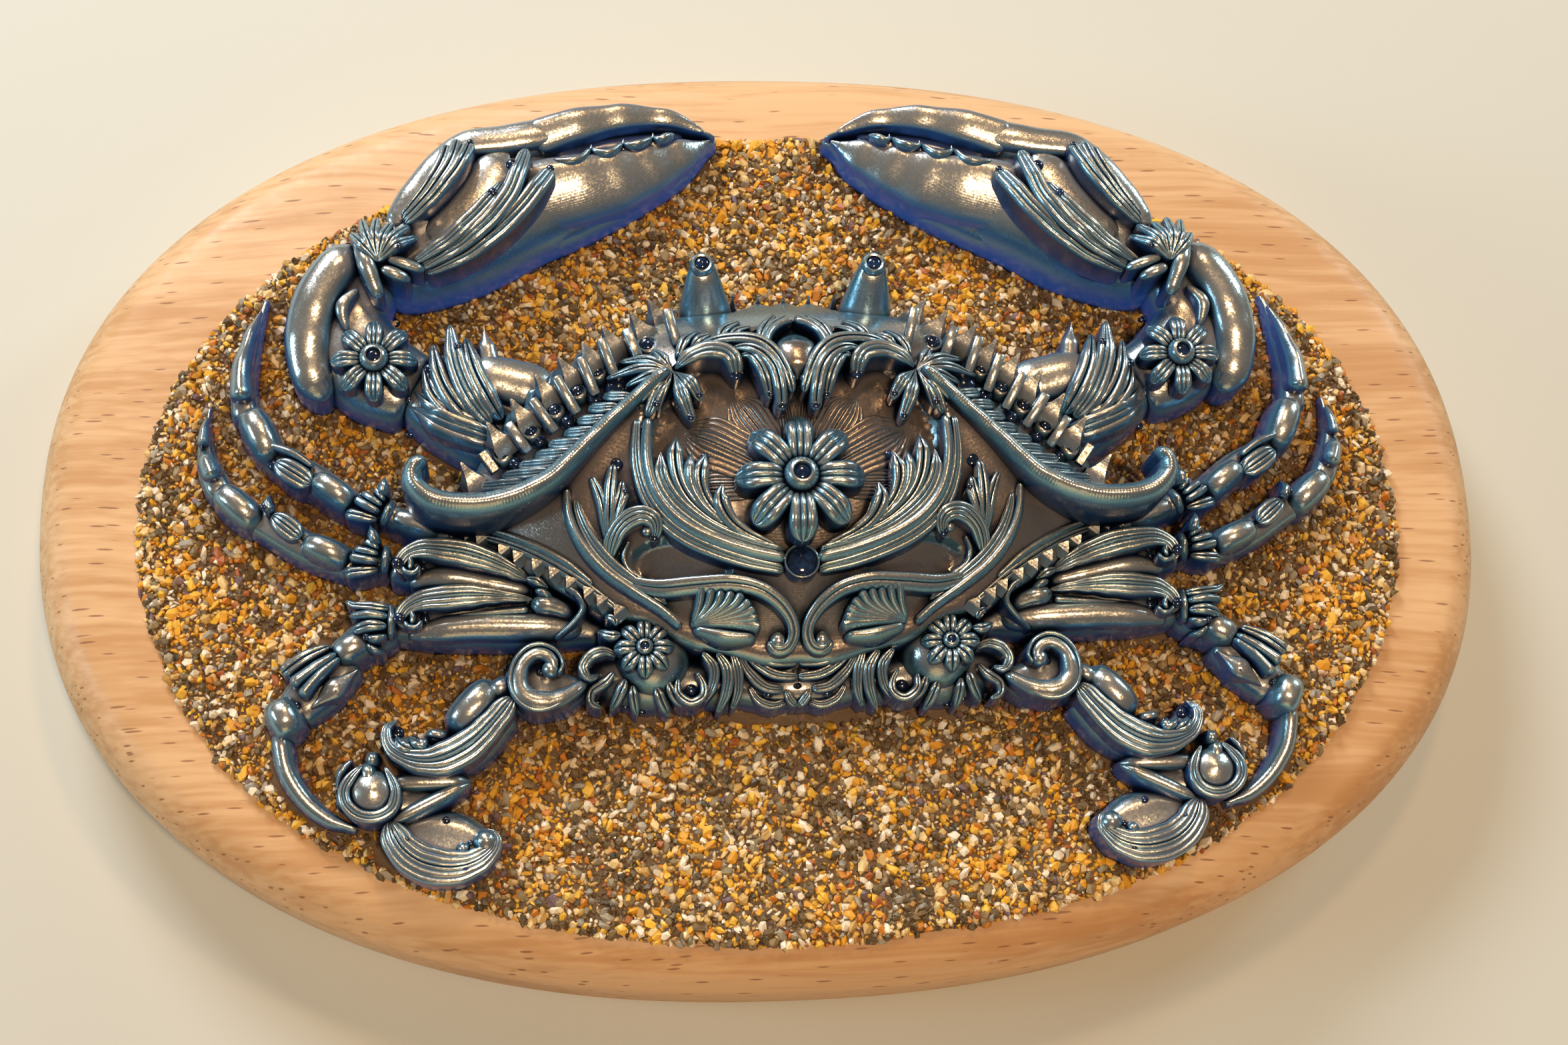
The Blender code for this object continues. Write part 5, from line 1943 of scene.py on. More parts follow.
def leg_groups() -> list[LimbGroup]:
    """The three walking legs of a side.

    Returns:
        A group for each leg, from the front.
    """
    first = [
        *cuff(37.1, 0.3, 24, 5.3),
        walled([(47, 5.2), (45.4, 4.1), (43.7, 3)], (1.9, 2.3, 2.1), 4, (4.5,), 0.3),
        walled([(47.7, 7), (45.4, 6), (43.6, 4.7)], (0.6, 0.9, 0.7), 1, (4.1, 4.3, 4.4), 0.6),
        walled([(50.2, 11.3), (50.4, 14.4), (49.8, 18.2), (48.9, 21.2)], (2.2, 1.9, 1.3, 0.3), 1,
               (3.9, 3.4, 2.6, 1.9), 0.3),
    ]
    second = [
        *cuff(37.3, -4.2, 4, 5.3),
        *crescent(34.6, -6.1, 7.1),
        ledge([(23.9, -6.8), (26.5, -5.5), (29.2, -4.6), (31.6, -4.15), (33.7, -4), (35.1, -4.5),
               (35.6, -5.5), (35.2, -6.2)], (0.6, 1.4, 2, 2.4, 2.3, 1.9, 1.3, 0.8), 5,
              (5.6, 6.2, 6.7, 7, 7.1, 6.9, 6.7), 0.35, depth=3.4),
        walled([(24, -7.5), (27.2, -6.9), (30.6, -6.2), (33.4, -6.2), (34.8, -6.7)], (1.4, 2, 2.3, 1.6), 1,
               (4.7, 4.9, 5, 4.6), 0.45, flute=0.2),
        ledge([(24.4, -6.7), (23.4, -7), (22.4, -7.6)], (0.5, 0.9, 0.4), 2, (6.2, 6.4, 6), 0.5, depth=1.6),
        ledge([(23.6, -7.7), (22.8, -8), (22, -8.4)], (0.6, 0.8, 0.4), 1, (5.8, 6, 5.6), 0.6, depth=1.6),
        walled([(47.2, 0.2), (45.9, -0.9), (44.6, -2)], (1.6, 2.1, 2), 4, (4.4,), 0.3),
        walled([(47.2, 0.3), (47.6, 1.2), (47.4, 2.3)], (1.1, 0.9, 0.3), 1, (4.2, 4.8, 4), 0.9,
               tips=(Tip.ROUND, Tip.POINTED)),
        walled([(52.5, 3.8), (53.2, 5.4), (53.7, 6.8)], (2, 1.8, 1.2), 1, (3.9, 3.5, 3), 0.3),
        walled([(53.8, 7.4), (53.8, 9), (53.6, 10.6)], (1.2, 0.9, 0.3), 1, (2.8, 2.4, 1.9), 0.35),
    ]
    third = [
        *crescent(34.5, -10.75, 5.6),
        ledge([(23.8, -8.4), (26.5, -8.15), (29.5, -8.1), (31.8, -8.25), (33.8, -8.45), (35.1, -9.1),
               (35.6, -10), (35.2, -10.8)], (0.5, 0.9, 1.5, 2.1, 2.3, 2, 1.4, 0.8), 5,
              (5.2, 5.5, 5.8, 5.9, 5.8, 5.5, 5.2), 0.35, depth=3.4),
        walled([(19.4, -10.9), (24, -10.6), (29, -10.5), (33, -10.8), (35, -11.3)], (1.9, 2.7, 2.8, 2.6, 1.4),
               1, (3.7, 4, 4, 3.7), 0.45, flute=0.2),
        ledge([(24.2, -9.25), (27.4, -9.45), (30.6, -9.6)], (0.7, 0.6, 0.25), 1, (4.7, 4.7, 4.6), 0.6,
              tips=(Tip.ROUND, Tip.POINTED), depth=1.0),
        ledge([(24, -8.9), (22.6, -8.9), (21, -9.4), (20.1, -10.2)], (1.6, 1.8, 1.5, 0.8), 1,
              (5, 5.3, 5, 4.6), 0.6, depth=3.0, flute=0.2),
        ledge([(20.9, -7.8), (19.8, -8.5), (19.3, -9.6), (20.1, -10.7), (21.9, -12)], (0.5, 0.65, 0.6, 0.5),
              1, (7.1, 7, 6.2, 5.4, 4.2), 0.9, depth=3.0),
        walled([(36.6, -9), (38.4, -8.8), (39.7, -8.6), (40.5, -8.1)], (0.8, 1, 0.8, 0.4), 2,
               (5.2, 5.3, 5.2, 4.8), 0.5),
        walled([(36.7, -9.8), (38.4, -9.6), (40.1, -9.6)], (0.7, 0.9, 0.7), 1, (5.4, 5.5, 5), 0.6),
        walled([(36.8, -10.6), (38.4, -10.6), (39.9, -10.9)], (0.8, 1.2, 0.9), 2, (5.3, 5.4, 4.8), 0.5),
        walled([(36.8, -11.4), (37.9, -11.7), (38.8, -11.4)], (0.6, 0.9, 0.5), 1, (4.8,), 0.7),
        walled([(37, -12.7), (37.9, -12.6), (38.7, -11.9)], (0.5, 0.8, 0.6), 1, (3.6, 4.2, 4.2), 0.7),
        walled([(36.6, -8.4), (36.4, -9.9), (36.6, -11.6)], (0.7, 0.9, 0.7), 1, (4.4, 5.2, 4.2), 0.5),
        walled([(41.9, -12.1), (44, -13.1), (46.1, -14.5)], (0.8, 1.3, 1.5), 2, (4.2, 4.3, 3.9), 0.4),
        walled([(41.3, -12.9), (43.3, -14.3), (45.2, -15.7)], (0.7, 1.1, 1.3), 1, (4.6, 4.7, 4.5), 0.6),
        walled([(41, -13.3), (42.9, -15.1), (44.3, -16.8)], (0.6, 1, 1.2), 1, (4.6, 4.8, 4.6), 0.6),
        walled([(39.5, -14.3), (41.4, -15.9), (43.5, -17.6)], (1, 2.1, 1.2), 1, (4, 4.1, 3.8), 0.3,
               flute=0.15, tips=(Tip.POINTED, Tip.POINTED)),
    ]
    return [
        LimbGroup("leg_1", {
            "leg_1_merus": Limb([(31.6, -1.7, 1, 4.8), (34, -0.8, 1.25, 5), (36.6, 0.1, 1.3, 5.2)]),
            "leg_1_carpus": Limb([(37.5, 0.4, 1.3, 5.2), (38.7, 0.9, 1.3, 5), (39.8, 1.3, 1.1, 4.6)],
                                 drop=0.9),
            "leg_1_propodus": Limb([(40.6, 1.8, 1.6, 4.4), (43.8, 4.2, 1.7, 4.2), (46.4, 5.6, 1.6, 4),
                                    (48.2, 7.4, 1.5, 3.6)], drop=0.5),
            "leg_1_dactyl": Limb([(50.1, 10.9, 1.45, 3.8), (50.4, 14, 1.25, 3.2), (49.8, 18, 0.9, 2.3),
                                  (48.8, 21.6, 0.3, 1.8)]),
        }, strokes=first, extras=[
            pod((49.9, 11.2), (47.2, 5.4), 1.75, 5.1),
            pod((44, 4.2), (39.6, 0.9), 1.6, 5.7),
            pod((36.8, 0.1), (31.8, -1.7), 1.4, 5.4, 3.6),
        ], pits=[(47.2, 5.3, 0.6), (39.4, 2.4, 0.3)]),
        LimbGroup("leg_2", {
            "leg_2_merus": Limb([(24.2, -7, 1, 5.6), (28, -6, 1.7, 6.4), (32.4, -5.2, 2, 6.8),
                                 (35.6, -4.9, 1.6, 6.8)], drop=1.9),
            "leg_2_carpus": Limb([(37.4, -4.3, 1.3, 5.2), (38.7, -4.1, 1.3, 5), (39.8, -4, 1.1, 4.6)],
                                 drop=1.0),
            "leg_2_propodus": Limb([(40.5, -4, 1.6, 4.4), (44.2, -2.4, 1.7, 4.2), (47.4, -0.4, 1.6, 4),
                                    (49.6, 0.9, 1.5, 3.8)], drop=0.5),
            "leg_2_dactyl": Limb([(52.4, 3.5, 1.4, 3.8), (53.2, 5.3, 1.25, 3.3), (53.7, 7.2, 0.9, 2.7),
                                  (53.8, 9, 0.6, 2.2), (53.6, 10.8, 0.2, 1.8)]),
        }, strokes=second,
            extras=[pod((52.6, 3.4), (48.2, -0.6), 1.65, 5.0), pod((44.9, -2), (39.8, -4.3), 1.55, 5.6)],
            pits=[(35.75, -5.3, 0.55), (33.75, -5.35, 0.5), (47.8, 0.8, 0.35), (53.8, 7.1, 0.25),
                  (39.3, -2.7, 0.3)]),
        LimbGroup("leg_3", {
            "leg_3_merus": Limb([(18.6, -10.9, 1.2, 4.8), (21.4, -10.2, 2.2, 5.4), (26.6, -9.9, 2.4, 5.6),
                                 (32, -9.7, 2.4, 5.8), (35.6, -9.7, 1.9, 5.2)], drop=1.5),
            "leg_3_carpus": Limb([(37.3, -10.4, 1.9, 4.6), (38.9, -11.2, 2, 4.8), (40.4, -12.3, 1.8, 4.6)],
                                 drop=0.8),
            "leg_3_propodus": Limb([(41.1, -13.4, 2.3, 4.2), (43, -15.2, 2.6, 4.2), (44.6, -16.9, 2.2, 4)],
                                   drop=0.7),
            "leg_3_knuckle": pod((46.8, -16.4), (45, -20.3), 1.8, 5.1),
            "leg_3_dactyl": Limb([(46.2, -20.6, 1.1, 3.6), (45.7, -23, 1.05, 3.2), (44.2, -25.4, 0.95, 2.6),
                                  (42.2, -27.1, 0.8, 2.1), (40.6, -27.8, 0.5, 1.8)], drop=0.1, shoulder=0.8),
        }, strokes=third, extras=[pod((38.2, -11.2), (41.9, -13.1), 1.7, 5.1)],
            pits=[(35.7, -10, 0.55), (33.5, -9.75, 0.45), (44.75, -17.3, 0.35), (38.6, -11.55, 0.35),
                  (41.3, -16.3, 0.13)]),
    ]


def swimming_group() -> list[LimbGroup]:
    """The swimming leg: domed root with its flower, curl, scroll, ring and paddle.

    Returns:
        Its groups, from the root outwards.
    """

    def leaf(path: Sequence[Point2], width: float, level: Profile, ridges: int = 2) -> Stroke:
        """A hanging leaf that narrows to both ends."""
        return walled(path, (0.6 * width, width, 0.9 * width, 0.5 * width), ridges, level, 0.5)

    root = [
        leaf([(16.4, -13.9), (17.4, -13.5), (18.7, -13.9), (19.4, -14.9), (18.9, -15.8), (18, -15.5)], 1.1,
             (5.6, 5.9, 5.6, 5), 3),
        leaf([(15.9, -12.2), (17, -12.3), (18, -11.7)], 1.0, (6.6, 6.8, 6.2)),
        leaf([(16.4, -11.5), (16.6, -10.9), (17.4, -10.5)], 0.8, (7, 7.2, 6.8)),
        leaf([(16.6, -15.2), (17.4, -16.1), (18.6, -16.8), (18.7, -17.8), (17.8, -18.2)], 1.0,
             (4.9, 4.6, 4, 3.6)),
        leaf([(15.6, -15.9), (16.2, -17.2), (17, -18.4)], 1.1, (4.9, 4.2, 3)),
        leaf([(15, -16.4), (14.9, -17.6), (14.6, -18.9)], 1.0, (4.6, 4, 2.8)),
        leaf([(12.9, -16.6), (12.4, -17.8), (11.7, -19)], 1.1, (4.6, 4, 2.8)),
        leaf([(11.8, -16.2), (11.3, -17.4), (10.4, -18.3)], 1.0, (4.8, 4.2, 3.4)),
        leaf([(10.9, -16), (10.9, -17.3), (9.8, -18.1), (8.7, -17.6), (8.6, -16.6), (9.2, -15.5)], 0.9,
             (5, 4.6, 4.4, 4.8, 5.2)),
        leaf([(8.7, -13.9), (7.7, -15.2), (7.8, -16.7), (8.6, -18)], 1.1, (6.2, 5.6, 4.8, 4), 3),
        leaf([(7.4, -13.9), (6.5, -15.3), (6.5, -17), (7.3, -18.8)], 1.2, (6, 5.4, 4.6, 3), 3),
        leaf([(6, -13.9), (5.5, -15.6), (5.5, -17.2), (6, -18.5)], 1.1, (5.8, 5.2, 4.4, 3), 3),
    ]
    curl = [
        walled([(19, -15.9), (20.8, -17.2), (22.4, -17.8), (23.9, -17.7), (24.9, -16.9), (25.1, -15.6),
                (24.7, -14.3), (23.7, -13.5), (22.7, -13.6), (22.1, -14.3), (22.2, -15.1), (22.6, -15.6)],
               (0.8, 1.3, 1.7, 2, 1.9, 1.6, 1.3, 1.2, 1.2, 0.5), 1, (4.6, 5, 5.2, 5.4, 5.4, 5.3), 0.75,
               flute=0.1),
        walled([(19.4, -16.5), (21.9, -18.3), (23.9, -18.6), (25.4, -17.6), (25.9, -15.9), (25.5, -14.2),
                (24.4, -13), (23.1, -12.7), (21.8, -13.3), (21.2, -14.5), (21.6, -15.4)],
               (0.4, 0.5, 0.5, 0.4), 1, (4.9, 5.3, 5.5, 5.6, 5.6, 5.5), 0.9),
    ]
    scroll = [
        walled([(25.7, -17.4), (27.6, -19.7), (29.5, -21.5), (31.9, -22.7), (34.1, -22.8), (35.9, -22.1),
                (36.8, -20.9), (36.8, -19.7), (36, -19)], (2.1, 2.3, 2.7, 3.1, 3.1, 2.3, 1.5, 1, 0.6), 5,
               (5.1, 5, 4.9, 4.8, 4.8, 4.8, 4.6, 4.2), 0.3),
        walled([(36, -20.5), (35.5, -21.4), (34.4, -21.9)], (0.5, 1.2, 0.6), 2, (4.4, 4.9, 4.9), 0.5),
        walled([(34.9, -20.5), (34.3, -21.3), (33.3, -21.7)], (0.5, 1, 0.6), 1, (4.3, 4.8, 4.9), 0.6),
    ]
    ring = [
        walled([(37, -23.2), (36.4, -24.2), (36, -25.5), (36.4, -26.9), (37.7, -27.6), (39.2, -27.4),
                (40.3, -26.4), (40.5, -25.1), (39.9, -24), (39, -23)], (0.4, 0.9, 1.1, 1.1, 1.1, 1.1, 1, 0.5),
               3, (4.2, 4.3, 4.4, 4.4, 4.2), 0.3),
        walled([(39.9, -22.4), (40.8, -23.4), (41.2, -24.7)], (0.5, 0.8, 0.4), 1, (3.6, 3.4, 3), 0.6),
    ]
    paddle = [walled([(36.7, -27.8), (35.7, -30), (33.9, -31.5), (31.4, -32.1), (29.2, -31.7), (27.7, -30.6),
                      (27.5, -29.4), (28.3, -28.8)], (2.2, 2.8, 3.2, 3.4, 3.1, 2.4, 1.5, 0.7), 6,
                     (3.2, 3.2, 3.2, 3.3, 3.3, 3.3, 3.1), 0.22)]
    return [
        LimbGroup("swimming_root", {
            "swimming_leg_coxa": Limb([
                (6.4, -16, 2.4, 4.6), (9.4, -15.7, 2.2, 4.6), (13.4, -15.4, 3, 5.2), (17, -15.2, 2.4, 4.8),
                (18.9, -15.4, 1.4, 4.2)], drop=0.9, shoulder=0.8),
        }, strokes=root,
            extras=[Knob([(3.7, -0.3), (3.6, 2.6), (3.35, 4), (2.85, 5.1), (2.1, 5.9), (1.1, 6.35),
                          (0.05, 6.5)], (13.1, -13.8, 0), 40)],
            flowers=[Flower((13.9, -13.4, 6.5), 2.75, 0.8, ridges=2, fullness=0.52)],
            pits=[(9.7, -16.7, 0.6), (18.2, -17.1, 0.5), (14.1, -18.2, 0.4), (18.6, -15.1, 0.3),
                  (16.9, -12.9, 0.35), (15.6, -17.8, 0.3)]),
        LimbGroup("swimming_curl", {
            "swimming_leg_merus": Limb(
                [(19.6, -16.2, 1.2, 4.4), (21.4, -16.4, 2.2, 4.7), (23.4, -16, 2.9, 5),
                 (25.2, -16.2, 2.4, 4.8)], drop=0.7),
        }, strokes=curl, extras=[
            pod((27, -15.4), (31.4, -20.2), 1.95, 5.4),
            pod((25.6, -15.6), (28, -16.9), 1.3, 5.0),
            Knob([(0.8, -2), (0.82, 0), (0.7, 0.4), (0.4, 0.7), (0.04, 0.8)], (22.3, -14.9, 5.2), 20),
        ], pits=[(23.2, -14.9, 0.45)]),
        LimbGroup("swimming_scroll", {
            "swimming_leg_carpus": Limb(
                [(26.6, -19.2, 1.2, 4.2), (29, -21.4, 1.6, 4.4), (32.6, -22.6, 2, 4.5),
                 (35.4, -21.6, 1.6, 4.2), (36.4, -20.2, 1, 3.8)], drop=0.8),
        }, strokes=scroll, extras=[
            pod((33.7, -20), (31.2, -20.6), 0.75, 4.3),
            Knob([(0.5, -2), (0.52, 0), (0.42, 0.3), (0.2, 0.48), (0.02, 0.5)], (33.7, -21.3, 5), 16),
        ], pits=[(36, -19.9, 0.65), (34.5, -20.4, 0.4), (27.6, -19.5, 0.15)]),
        LimbGroup("swimming_ring", {
            "swimming_leg_propodus": Limb(
                [(40.3, -25.2, 1.5, 3.7), (38.4, -25.4, 2.5, 4), (35.4, -26, 1.7, 3.3),
                 (32.6, -25.4, 1.6, 3.2), (31, -24.8, 1.2, 3)], drop=0.6),
        }, strokes=ring, extras=[
            Knob([(2.1, 0), (2.1, 3.4), (1.85, 4.05), (1.3, 4.5), (0.05, 4.75)], (38.2, -25.3, 0), 28),
            pod((38.6, -22.4), (38.3, -25), 1.0, 4.6),
            pod((38.1, -21.5), (38.1, -23.3), 0.8, 4.7),
            pod((37, -24.4), (29.6, -24.4), 1.15, 3.9, 2.6),
            pod((36.6, -28), (29.6, -24.6), 0.95, 4.0, 2.8),
        ], pits=[(39.4, -22.4, 0.25)]),
        LimbGroup("swimming_paddle", {
            "swimming_leg_paddle": Limb(
                [(35.6, -28.8, 1.4, 2.8), (33, -29, 2.4, 3), (30.6, -29.6, 2.6, 3), (28.4, -30.4, 1.8, 2.9)],
                drop=0.3),
        }, strokes=paddle, extras=[
            Knob([(1.2, 0), (1.2, 2.6), (1, 3.4), (0.6, 3.9), (0.05, 4.1)], (28.2, -29.8, 0), 24),
            Knob([(0.6, 0), (0.6, 3), (0.45, 3.4), (0.2, 3.6), (0.02, 3.65)], (30.2, -30.4, 0), 16),
        ], pits=[(31.7, -27.8, 0.38), (35.1, -29.5, 0.22), (29.6, -29.9, 0.3), (30, -32.3, 0.28)]),
    ]


def tail_group(shop: Workshop) -> None:
    """The draped flap under the rear edge of the shell.

    Args:
        shop: The workshop.
    """
    body = Limb([(-5.6, -15.6, 2.2, 4.2), (-2.8, -16, 2.4, 4.4), (0, -16, 2.4, 4.6), (2.8, -16, 2.4, 4.4),
                 (5.6, -15.6, 2.2, 4.2)], drop=0.6).build()
    swags = (([(5.3, -14.2), (4.4, -15.6), (2.9, -16.8), (1.3, -17)], 1.1, (5.6, 4.9, 4.3, 4.1)),
             ([(4.9, -13.9), (3.6, -15), (2, -15.8), (0, -16)], 1.0, (5.8, 5.2, 4.9, 4.8)),
             ([(4.2, -13.9), (2.4, -14.7), (0, -14.8)], 1.0, (6, 5.6, 5.4)),
             ([(4.4, -16.6), (3.6, -17.8), (2.2, -18.3), (1, -17.9)], 0.9, (4, 3.5, 3.2, 3.2)),
             ([(1.1, -17), (0.7, -17.8), (0, -18.4)], 0.9, (4, 3.6, 3)))
    strokes = []
    for side in Side:
        for path, width, level in swags:
            strokes.append(ledge([(side.value * x, y) for x, y in path], (0.6 * width, width, 0.8 * width), 3,
                                 level, 0.4, depth=None))
    carved = shop.carve(strokes, surface_of(body))
    # Near-black discs between the swags: painted shade.
    shop.dig([Stamp(2.7, -17.4, 3.9, size=(0.5, 0.35, 0.25)), Stamp(0.0, -16.8, 4.5, size=(0.35, 0.3, 0.25))])
    shop.finish("tail_swags", [body, *carved], replaces=["tail_flap"])


# --- Pieces on the shell ---


def build_shell(shop: Workshop) -> None:
    """The shell with its carving, horn scrolls, frill, pegs, eyes and central flower.

    Args:
        shop: The workshop.
    """
    shell = Shell()
    carving = ShellCarving(shell)
    vault = shell.build()
    shop.finish("shell_vault", [vault], replaces=["carapace"])
    boss = turned("boss", [(1.6, -2), (1.6, 0.3), (1.56, 0.48), (1.47, 0.52), (1.4, 0.42), (1.35, 0)],
                  (0.0, -7.2, shell.height(0, -7.2) + 0.2), 36)
    tops = [shell.ground]
    for name, strokes in (("medallion_frame", carving.medallion()), ("palmette", carving.palmette()),
                          ("arch_leaves", carving.arch()), ("flank_scrolls", carving.flanks()),
                          ("frill", carving.frill())):
        piece = joined(shop.carve(strokes, shell.height), name)
        tops.append(surface_of(piece))
        shop.pair(name, [piece])
    sunburst = shop.carve(carving.sunburst(), shell.ground)
    heart = shop.carve(carving.heart(), shell.height)
    # The sunburst and the heart take the painted warm reflection of smooth ground.
    for item in sunburst + heart:
        set_attribute(item.data, "ground", "FLOAT", [1.0] * len(item.data.vertices))
    shop.pair("sunburst", sunburst)
    shop.pair("curl_knobs", [shop.stamp(shop.ball, carving.knobs())])
    shop.finish("boss_and_heart", [boss, *heart])
    stud = pyramid()
    shop.pair("moulding_studs", [shop.stamp(stud, carving.beads())], sharp=20.0)
    discard(stud)

    horn = [ledge([(11.4, 10), (13, 8.9), (14.5, 7.6), (16.2, 6.2), (18, 4.6), (19.8, 2.9), (21.6, 1.2),
                   (23.4, 0.1), (25.4, -0.7), (27.5, -1.2), (29.5, -1.3), (31.4, -1.1), (33, -0.5),
                   (34.1, 0.7), (34, 2.1), (32.9, 2.7)],
                  (1.2, 1.4, 1.6, 1.8, 2, 2.2, 2.4, 2.5, 2.6, 2.5, 2.1, 1.6), 1,
                  (14.9, 13.8, 12.9, 12.1, 11.5, 11, 10.6, 10.4, 10.5, 11.1, 12), 0.9, depth=4.5, step=0.25,
                  ribbed=True)]
    shop.pair("horn_tube", shop.carve(horn, shell.height), replaces=["horn_scroll"])

    rod = peg()
    spikes = cone()
    rods = [((10.5, 13), (11.4, 16.3)), ((14, 12), (15.1, 14.7)), ((16.2, 10.6), (17.4, 13.8)),
            ((17.9, 8.8), (19.3, 12.2)), ((19.6, 7.3), (21.5, 10.6)), ((21.6, 5.9), (23.7, 8.8)),
            ((24, 4.4), (25.9, 7)), ((27, 3.1), (28.3, 4.9))]
    stamps = []
    for (x0, y0), (x1, y1) in rods:
        length = math.hypot(x1 - x0, y1 - y0)
        stamps.append(Stamp(x0, y0, shell.height(x0, y0) - 0.1, size=(0.85, 0.25 * length, 1.0),
                            turn=(0.2, 0.0, math.atan2(y1 - y0, x1 - x0) - math.pi / 2)))
    cones = [(13.6, 15.2), (16.2, 13.8), (18, 12.3), (20.2, 11.1), (22.3, 9.7), (24.5, 7.7), (26.7, 5.9),
             (29.1, 2.6), (11.9, 17)]
    points = [Stamp(x, y, shell.height(x, y) + 0.2, turn=(-0.8, 0.0, math.radians(-38.0)),
                    size=(1.5, 1.5, 2.3)) for x, y in cones]
    front = [Stamp(side * x, 19.0, 6.6, turn=(-0.5, 0, 0), size=(0.7, 0.7, 1.9))
             for x in (0, 2.4, 4.8) for side in ((1, -1) if x else (1,))]
    holes = [(13.1, 13.6, 0.95), (17.7, 11.2, 0.8), (19.5, 9.5, 0.8), (21.6, 8, 0.8), (23.8, 6.4, 0.8),
             (26.4, 4.7, 0.8)]
    collar = turned("collar", [(1.25, -1), (1.2, 0), (1.05, 0.2), (0.86, 0.26), (0.72, 0.14), (0.66, -0.3)],
                    (0, 0, 0), 18)
    mouths = [Stamp(x, y, shell.height(x, y) - 0.25, turn=(-0.35, 0.15, 0), size=(r, r, r))
              for x, y, r in holes]
    collars = shop.stamp(collar, mouths)
    discard(collar)
    shop.pair("pegs_and_spikes", [shop.stamp(rod, stamps), shop.stamp(spikes, points), collars])
    shop.finish("front_spikes", [shop.stamp(spikes, front)])
    discard(rod, spikes)

    stalk = turned("stalk",
                   [(2.9, -2.4), (2.85, -0.4), (2.7, 1), (2.35, 2.6), (1.8, 4.3), (1.3, 5.6), (1, 6.1)],
                   (7.3, 16.2, 6.6), 32, lean=(0.10, 0.78))
    ball = turned("eyeball", [(0.5, -0.5), (1, -0.1), (1.15, 0.3), (1.1, 0.6), (0.85, 0.85), (0.7, 0.8),
                              (0.62, 0.5)], (7.95, 21, 12.5), 28)
    shop.pair("eye_stalk", [stalk, ball], replaces=["eye"])

    flower = Flower((0.0, 0.0, shell.height(0, 0) - 0.6), 5.9, 1.6, fullness=0.44)
    shop.finish("central_flower", flower.build(shop), replaces=["centre_rosette"])
    # Near-black discs in the collars' holes and at the pegs' roots: painted shade.
    beads = [Stamp(x, y, shell.height(x, y) - 0.05, size=(0.7 * r, 0.7 * r, 0.25)) for x, y, r in holes]
    roots = ((17.9, 8.7, 0.7), (20.4, 6.9, 0.7), (23, 5.5, 0.65), (25.2, 3.8, 0.65), (28.6, 2.5, 0.6),
             (15.9, 9.4, 1.1))
    beads += [Stamp(x, y, shell.height(x, y) - 0.9, size=(r, r, 0.5)) for x, y, r in roots]
    # A near-black disc in the eyeball's hollow: painted shade.
    eye = [Stamp(7.95, 21.0, 13.1, size=(0.66, 0.66, 0.3))]
    shop.dig(carving.pits(tops) + beads + eye)
    # Near-black gloss in the boss's cup and the central flower's hole: painted shade.
    gloss = [Stamp(0.0, -7.2, shell.height(0, -7.2) + 0.25, size=(1.4, 1.4, 0.4)), flower.hole()]
    shop.finish("boss_gloss", [shop.stamp(shop.ball, gloss, shop.bubble)], shop.bubble)


# --- Studio ---


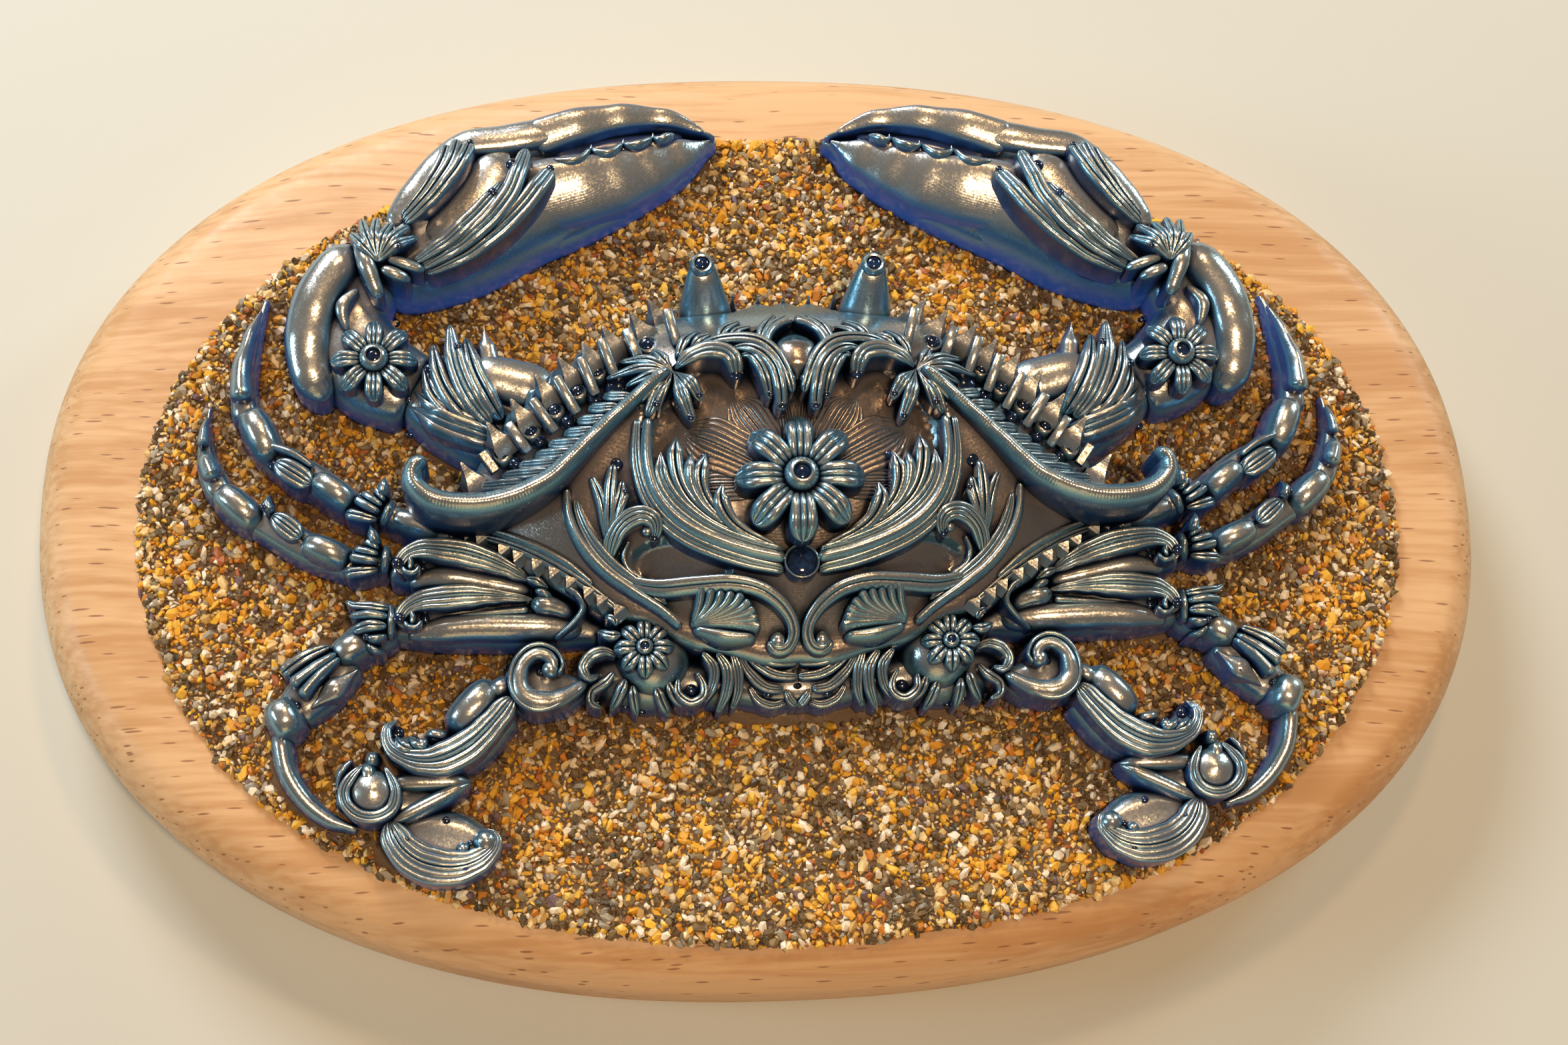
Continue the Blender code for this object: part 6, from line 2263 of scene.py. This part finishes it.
@dataclass
class Studio:
    """Camera, lights and floor."""

    azimuth: float = -0.3594
    elevation: float = 1.2616
    roll: float = 0.3281
    distance: float = 208.79
    shift: Point2 = (-0.066, 0.060)
    lens: float = 50.51
    floor_colour: Colour = (0.54, 0.53, 0.47)

    def build(self, shop: Workshop) -> None:
        """Places everything around the casting.

        Args:
            shop: The workshop.
        """
        self._camera(shop)
        self._floor()
        lights = (
            ("window_main", (-0.18, 0.36, 0.30), 0.18, 2.0, (0.88, 0.95, 1)),
            ("wall_warm", (0.04, 0.24, 0.42), 0.05, 0.42, (1, 0.62, 0.30)),
            ("window_cool", (0.38, 0.28, 0.22), 0.14, 0.8, (0.60, 0.88, 1)),
            ("lamp_warm", (0.06, -0.13, 0.60), 0.07, 2.0, (1, 0.70, 0.40)),
            ("side_cool", (-0.45, -0.02, 0.20), 0.14, 0.7, (0.60, 0.88, 1)),
            ("cloth_warm", (-0.02, -0.46, 0.14), 0.30, 0.3, (1, 0.58, 0.24)),
        )
        for name, place, size, power, colour in lights:
            light = bpy.data.lights.new(name, "AREA")
            light.shape = "DISK"
            light.size = size
            light.energy = power
            light.color = colour
            item = bpy.data.objects.new(name, light)
            item.location = place
            item.rotation_euler = (Vector((0, 0, 0.02)) - Vector(place)).to_track_quat("-Z", "Y").to_euler()
            bpy.context.scene.collection.objects.link(item)
        world = bpy.data.worlds.new("room")
        world.use_nodes = True
        background = world.node_tree.nodes["Background"]
        background.inputs["Color"].default_value = (0.45, 0.47, 0.50, 1)
        background.inputs["Strength"].default_value = 0.24
        bpy.context.scene.world = world
        bpy.context.scene.view_settings.view_transform = "Standard"

    def _camera(self, shop: Workshop) -> None:
        """The camera looks down steeply from behind the crab's left, rolled a little.

        Args:
            shop: The workshop.
        """
        az, el, roll = self.azimuth, self.elevation, self.roll
        back = Vector((math.sin(az) * math.cos(el), -math.cos(az) * math.cos(el), math.sin(el)))
        right = Vector((math.cos(az), math.sin(az), 0.0))
        up = back.cross(right)
        turned_right = right * math.cos(roll) + up * math.sin(roll)
        turned_up = up * math.cos(roll) - right * math.sin(roll)
        place = turned_right * self.shift[0] + turned_up * self.shift[1] + back * self.distance
        data = bpy.data.cameras.new("camera")
        data.lens = self.lens
        data.sensor_width = 36.0
        data.clip_start = 0.01
        camera = bpy.data.objects.new("camera", data)
        rows = Matrix((turned_right, turned_up, back)).transposed().to_4x4()
        camera.matrix_world = Matrix.Translation(shop.origin + place * MM) @ rows
        bpy.context.scene.collection.objects.link(camera)
        bpy.context.scene.camera = camera

    def _floor(self) -> None:
        """A plain pale floor under the board."""
        mesh = bpy.data.meshes.new("floor")
        reach = 3.0
        mesh.from_pydata([(-reach, -reach, 0.0), (reach, -reach, 0.0), (reach, reach, 0.0),
                          (-reach, reach, 0.0)], [], [(0, 1, 2, 3)])
        floor = new_object("floor", mesh)
        material, graph, shader = new_material("floor")
        cloud = graph.out("ShaderNodeTexNoise", {"Scale": 4.0, "Detail": 2.0})
        pale = rgba(self.floor_colour)
        colour = graph.mix(graph.ramp(cloud, 0.3, 0.7, 0.0, 0.25), pale, (0.76, 0.71, 0.63, 1))
        graph.feed(shader, {"Base Color": colour, "Roughness": 0.8})
        mesh.materials.append(material)
        floor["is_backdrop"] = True


def corners(box: tuple[Vector, Vector]) -> list[list[float]]:
    """A box as plain lists."""
    return [[float(value) for value in corner] for corner in box]


def main() -> None:
    """Builds every piece around the frame."""
    logging.basicConfig(level=logging.INFO, format="%(name)s %(message)s", stream=sys.stdout)
    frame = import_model()
    cad_box = corners(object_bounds())
    shop = Workshop()
    Board().build(shop)
    build_shell(shop)
    for group in claw_groups() + leg_groups() + swimming_group():
        group.build(shop)
    tail_group(shop)
    # The near-black discs from every part: painted shade in holes and undercuts.
    shop.pair("dark_hollows", shop.hollows, material=shop.bubble)
    discard(shop.ball)
    casting = shadow_of_casting(shop, frame["nodes"])
    SandBed().build(shop, casting)
    discard(casting)
    Studio().build(shop)
    {"cad": cad_box, "visual": corners(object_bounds())}


def shadow_of_casting(shop: Workshop, nodes: dict[str, Object]) -> Object:
    """The CAD solids of the casting in one mesh in the layout's millimetres, to keep sand from under it.

    Args:
        shop: The workshop.
        nodes: The CAD nodes by name.

    Returns:
        The new object.
    """
    shape = bmesh.new()
    for name, node in nodes.items():
        if name not in ("base_board", "sand_bed"):
            shape.from_mesh(node.data)
    mesh = bpy.data.meshes.new("casting")
    shape.to_mesh(mesh)
    shape.free()
    mesh.transform(Matrix.Scale(1.0 / MM, 4) @ Matrix.Translation(-shop.origin))
    return new_object("casting", mesh)


if __name__ == "__main__":
    main()
